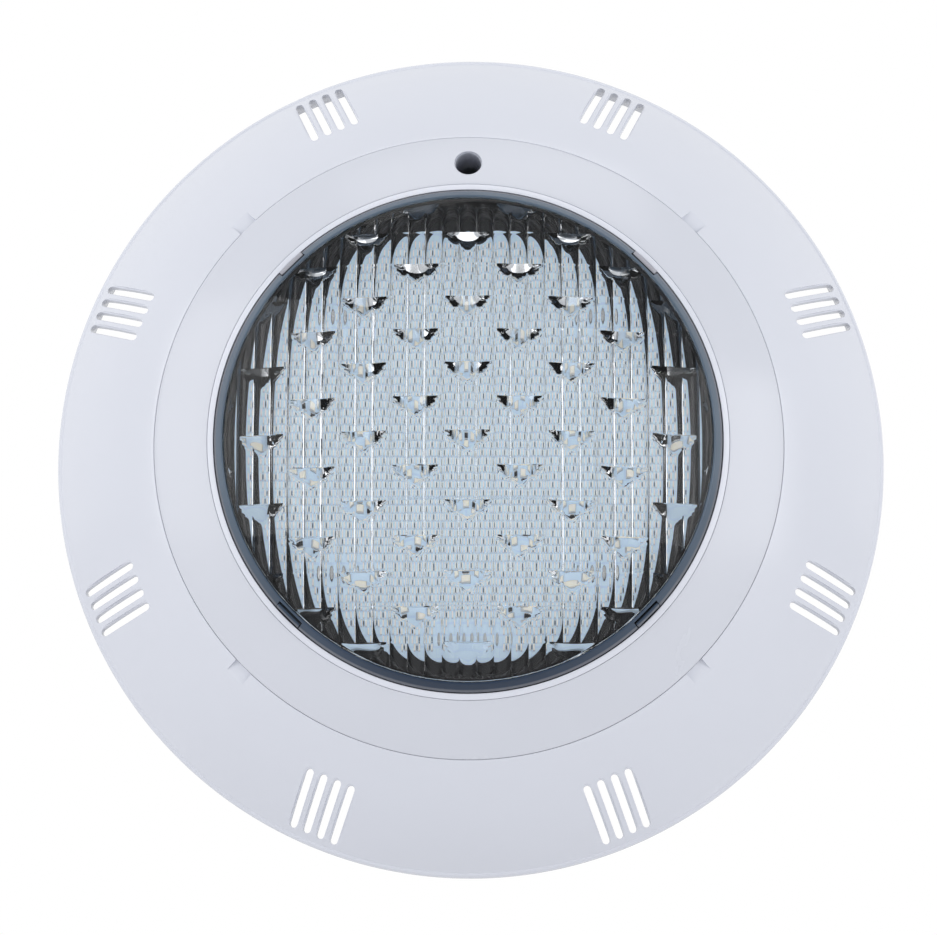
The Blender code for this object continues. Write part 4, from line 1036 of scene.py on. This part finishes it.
def make_bracket():
    """Round plate with an arm up to the pilot screw's boss, and two sockets."""
    plate, disc_radius, arm_radius = 3.5 * MM, 60 * MM, 13 * MM
    start = math.acos(arm_radius / disc_radius)
    outline = [at(a, disc_radius) for a in spread(math.pi - start, 2 * math.pi + start, 120)]
    outline += [(arm_radius * math.cos(a), PILOT_Z + arm_radius * math.sin(a))
                for a in spread(0, math.pi, 32)]
    form = bmesh.new()
    low = [form.verts.new((x, y, 0)) for x, y in outline]
    high = [form.verts.new((x, y, plate)) for x, y in outline]
    form.faces.new(list(reversed(low)))
    form.faces.new(high)
    rim = []
    for i in range(len(outline)):
        j = (i + 1) % len(outline)
        form.faces.new((low[i], low[j], high[j], high[i]))
        rim.append(form.edges.get((high[i], high[j])))
    bmesh.ops.bevel(form, geom=rim, offset=0.6 * MM, segments=3, profile=0.5, affect="EDGES")
    bmesh.ops.recalc_face_normals(form, faces=form.faces)
    bracket = new_object("bracket_plate", form)
    wall = (21.0 * MM, 10.2 * MM, 8.75 * MM)
    for side in (-1, 1):
        join(bracket, solid("socket", [block(wall, (side * SOCKET[0], SOCKET[1], 6.125 * MM), 0, 0.5 * MM)]))
    join(bracket, solid("boss", [rod((0, PILOT_Z), 7 * MM, plate / 2, 9.6 * MM)]))
    places = [(x * MM, y * MM) for x in (-40, 40) for y in (-23, 23)]
    tools = [block((15.0 * MM, 4.2 * MM, 20 * MM), (side * SOCKET[0], SOCKET[1], 14.5 * MM))
             for side in (-1, 1)]
    tools.append(rod((0, PILOT_Z), 3.5 * MM, plate / 3, 20 * MM))
    tools += [rod(place, 2.6 * MM, -2 * MM, 20 * MM, 40) for place in places]
    cut(bracket, solid("pockets", tools))
    cut(bracket, solid("sinks", [rod(place, 6 * MM, plate - 2.4 * MM, plate + 1 * MM, 40,
                                     end_radius=2.2 * MM) for place in places]))
    return piece(bracket, GREY_ABS, "bracket", "grey_abs", "wall_bracket")


make_flange()
make_ring()
make_bezel()
make_band()
make_clips()
make_lens()
make_board()
make_housing()
make_gland()
make_bracket()


# ---------------------------------------------------------------- studio
FLOOR_RADIUS = 12.0
FLOOR_HEIGHT = -0.32


def make_floor():
    form = bmesh.new()
    bmesh.ops.create_circle(form, cap_ends=True, segments=96, radius=FLOOR_RADIUS)
    floor = new_object("floor", form)
    floor.location.z = FLOOR_HEIGHT
    floor.data.materials.append(floor_finish())


def make_world():
    """White behind the light and greyer behind the camera."""
    world = bpy.data.worlds.new("studio")
    bpy.context.scene.world = world
    world.use_nodes = True
    tree = world.node_tree
    background = tree.nodes["Background"]
    coords = tree.nodes.new("ShaderNodeTexCoord")
    split = tree.nodes.new("ShaderNodeSeparateXYZ")
    ramp = tree.nodes.new("ShaderNodeValToRGB")
    reach = tree.nodes.new("ShaderNodeMapRange")
    reach.inputs["From Min"].default_value = -1.0
    tree.links.new(coords.outputs["Generated"], split.inputs["Vector"])
    tree.links.new(split.outputs["Y"], reach.inputs["Value"])
    tree.links.new(reach.outputs["Result"], ramp.inputs["Fac"])
    tree.links.new(ramp.outputs["Color"], background.inputs["Color"])
    ramp.color_ramp.elements[0].position = 0.35
    ramp.color_ramp.elements[0].color = (0.60, 0.61, 0.63, 1.0)
    ramp.color_ramp.elements[1].position = 0.6
    ramp.color_ramp.elements[1].color = (1.0, 1.0, 1.0, 1.0)
    background.inputs["Strength"].default_value = 1.0


def make_softbox(name, place, width, height, radiance):
    """A rectangle of light at place, turned towards the origin."""
    light = bpy.data.lights.new(name, "AREA")
    light.shape = "RECTANGLE"
    light.size = width
    light.size_y = height
    light.energy = radiance * math.pi * width * height
    made = bpy.data.objects.new(name, light)
    bpy.context.scene.collection.objects.link(made)
    made.location = place
    made.rotation_euler = (-Vector(place)).to_track_quat("-Z", "Y").to_euler()


def make_camera():
    """Stands a little below the light's axis and looks up at its face."""
    data = bpy.data.cameras.new("camera")
    data.lens = 120.7
    data.sensor_width = 36.0
    camera = bpy.data.objects.new("camera", data)
    bpy.context.scene.collection.objects.link(camera)
    look = Vector((-0.0144, 0.9885, 0.1509)).normalized()
    up = Vector((0.0022, -0.1504, 0.9886))
    right = look.cross(up).normalized()
    up = right.cross(look)
    turn = Matrix((right, up, -look)).transposed()
    camera.matrix_world = Matrix.Translation((0.0153, -1.1028, -0.1684)) @ turn.to_4x4()
    bpy.context.scene.camera = camera


make_floor()
make_world()
make_softbox("left_softbox", (-1.25, -0.95, 0.35), 1.3, 1.3, 1.55)
make_softbox("right_softbox", (1.25, -0.95, -0.05), 1.3, 1.3, 1.75)
make_softbox("top_softbox", (0.1, -0.5, 1.2), 1.2, 0.5, 1.0)
make_camera()
bpy.context.scene.view_settings.view_transform = "Standard"
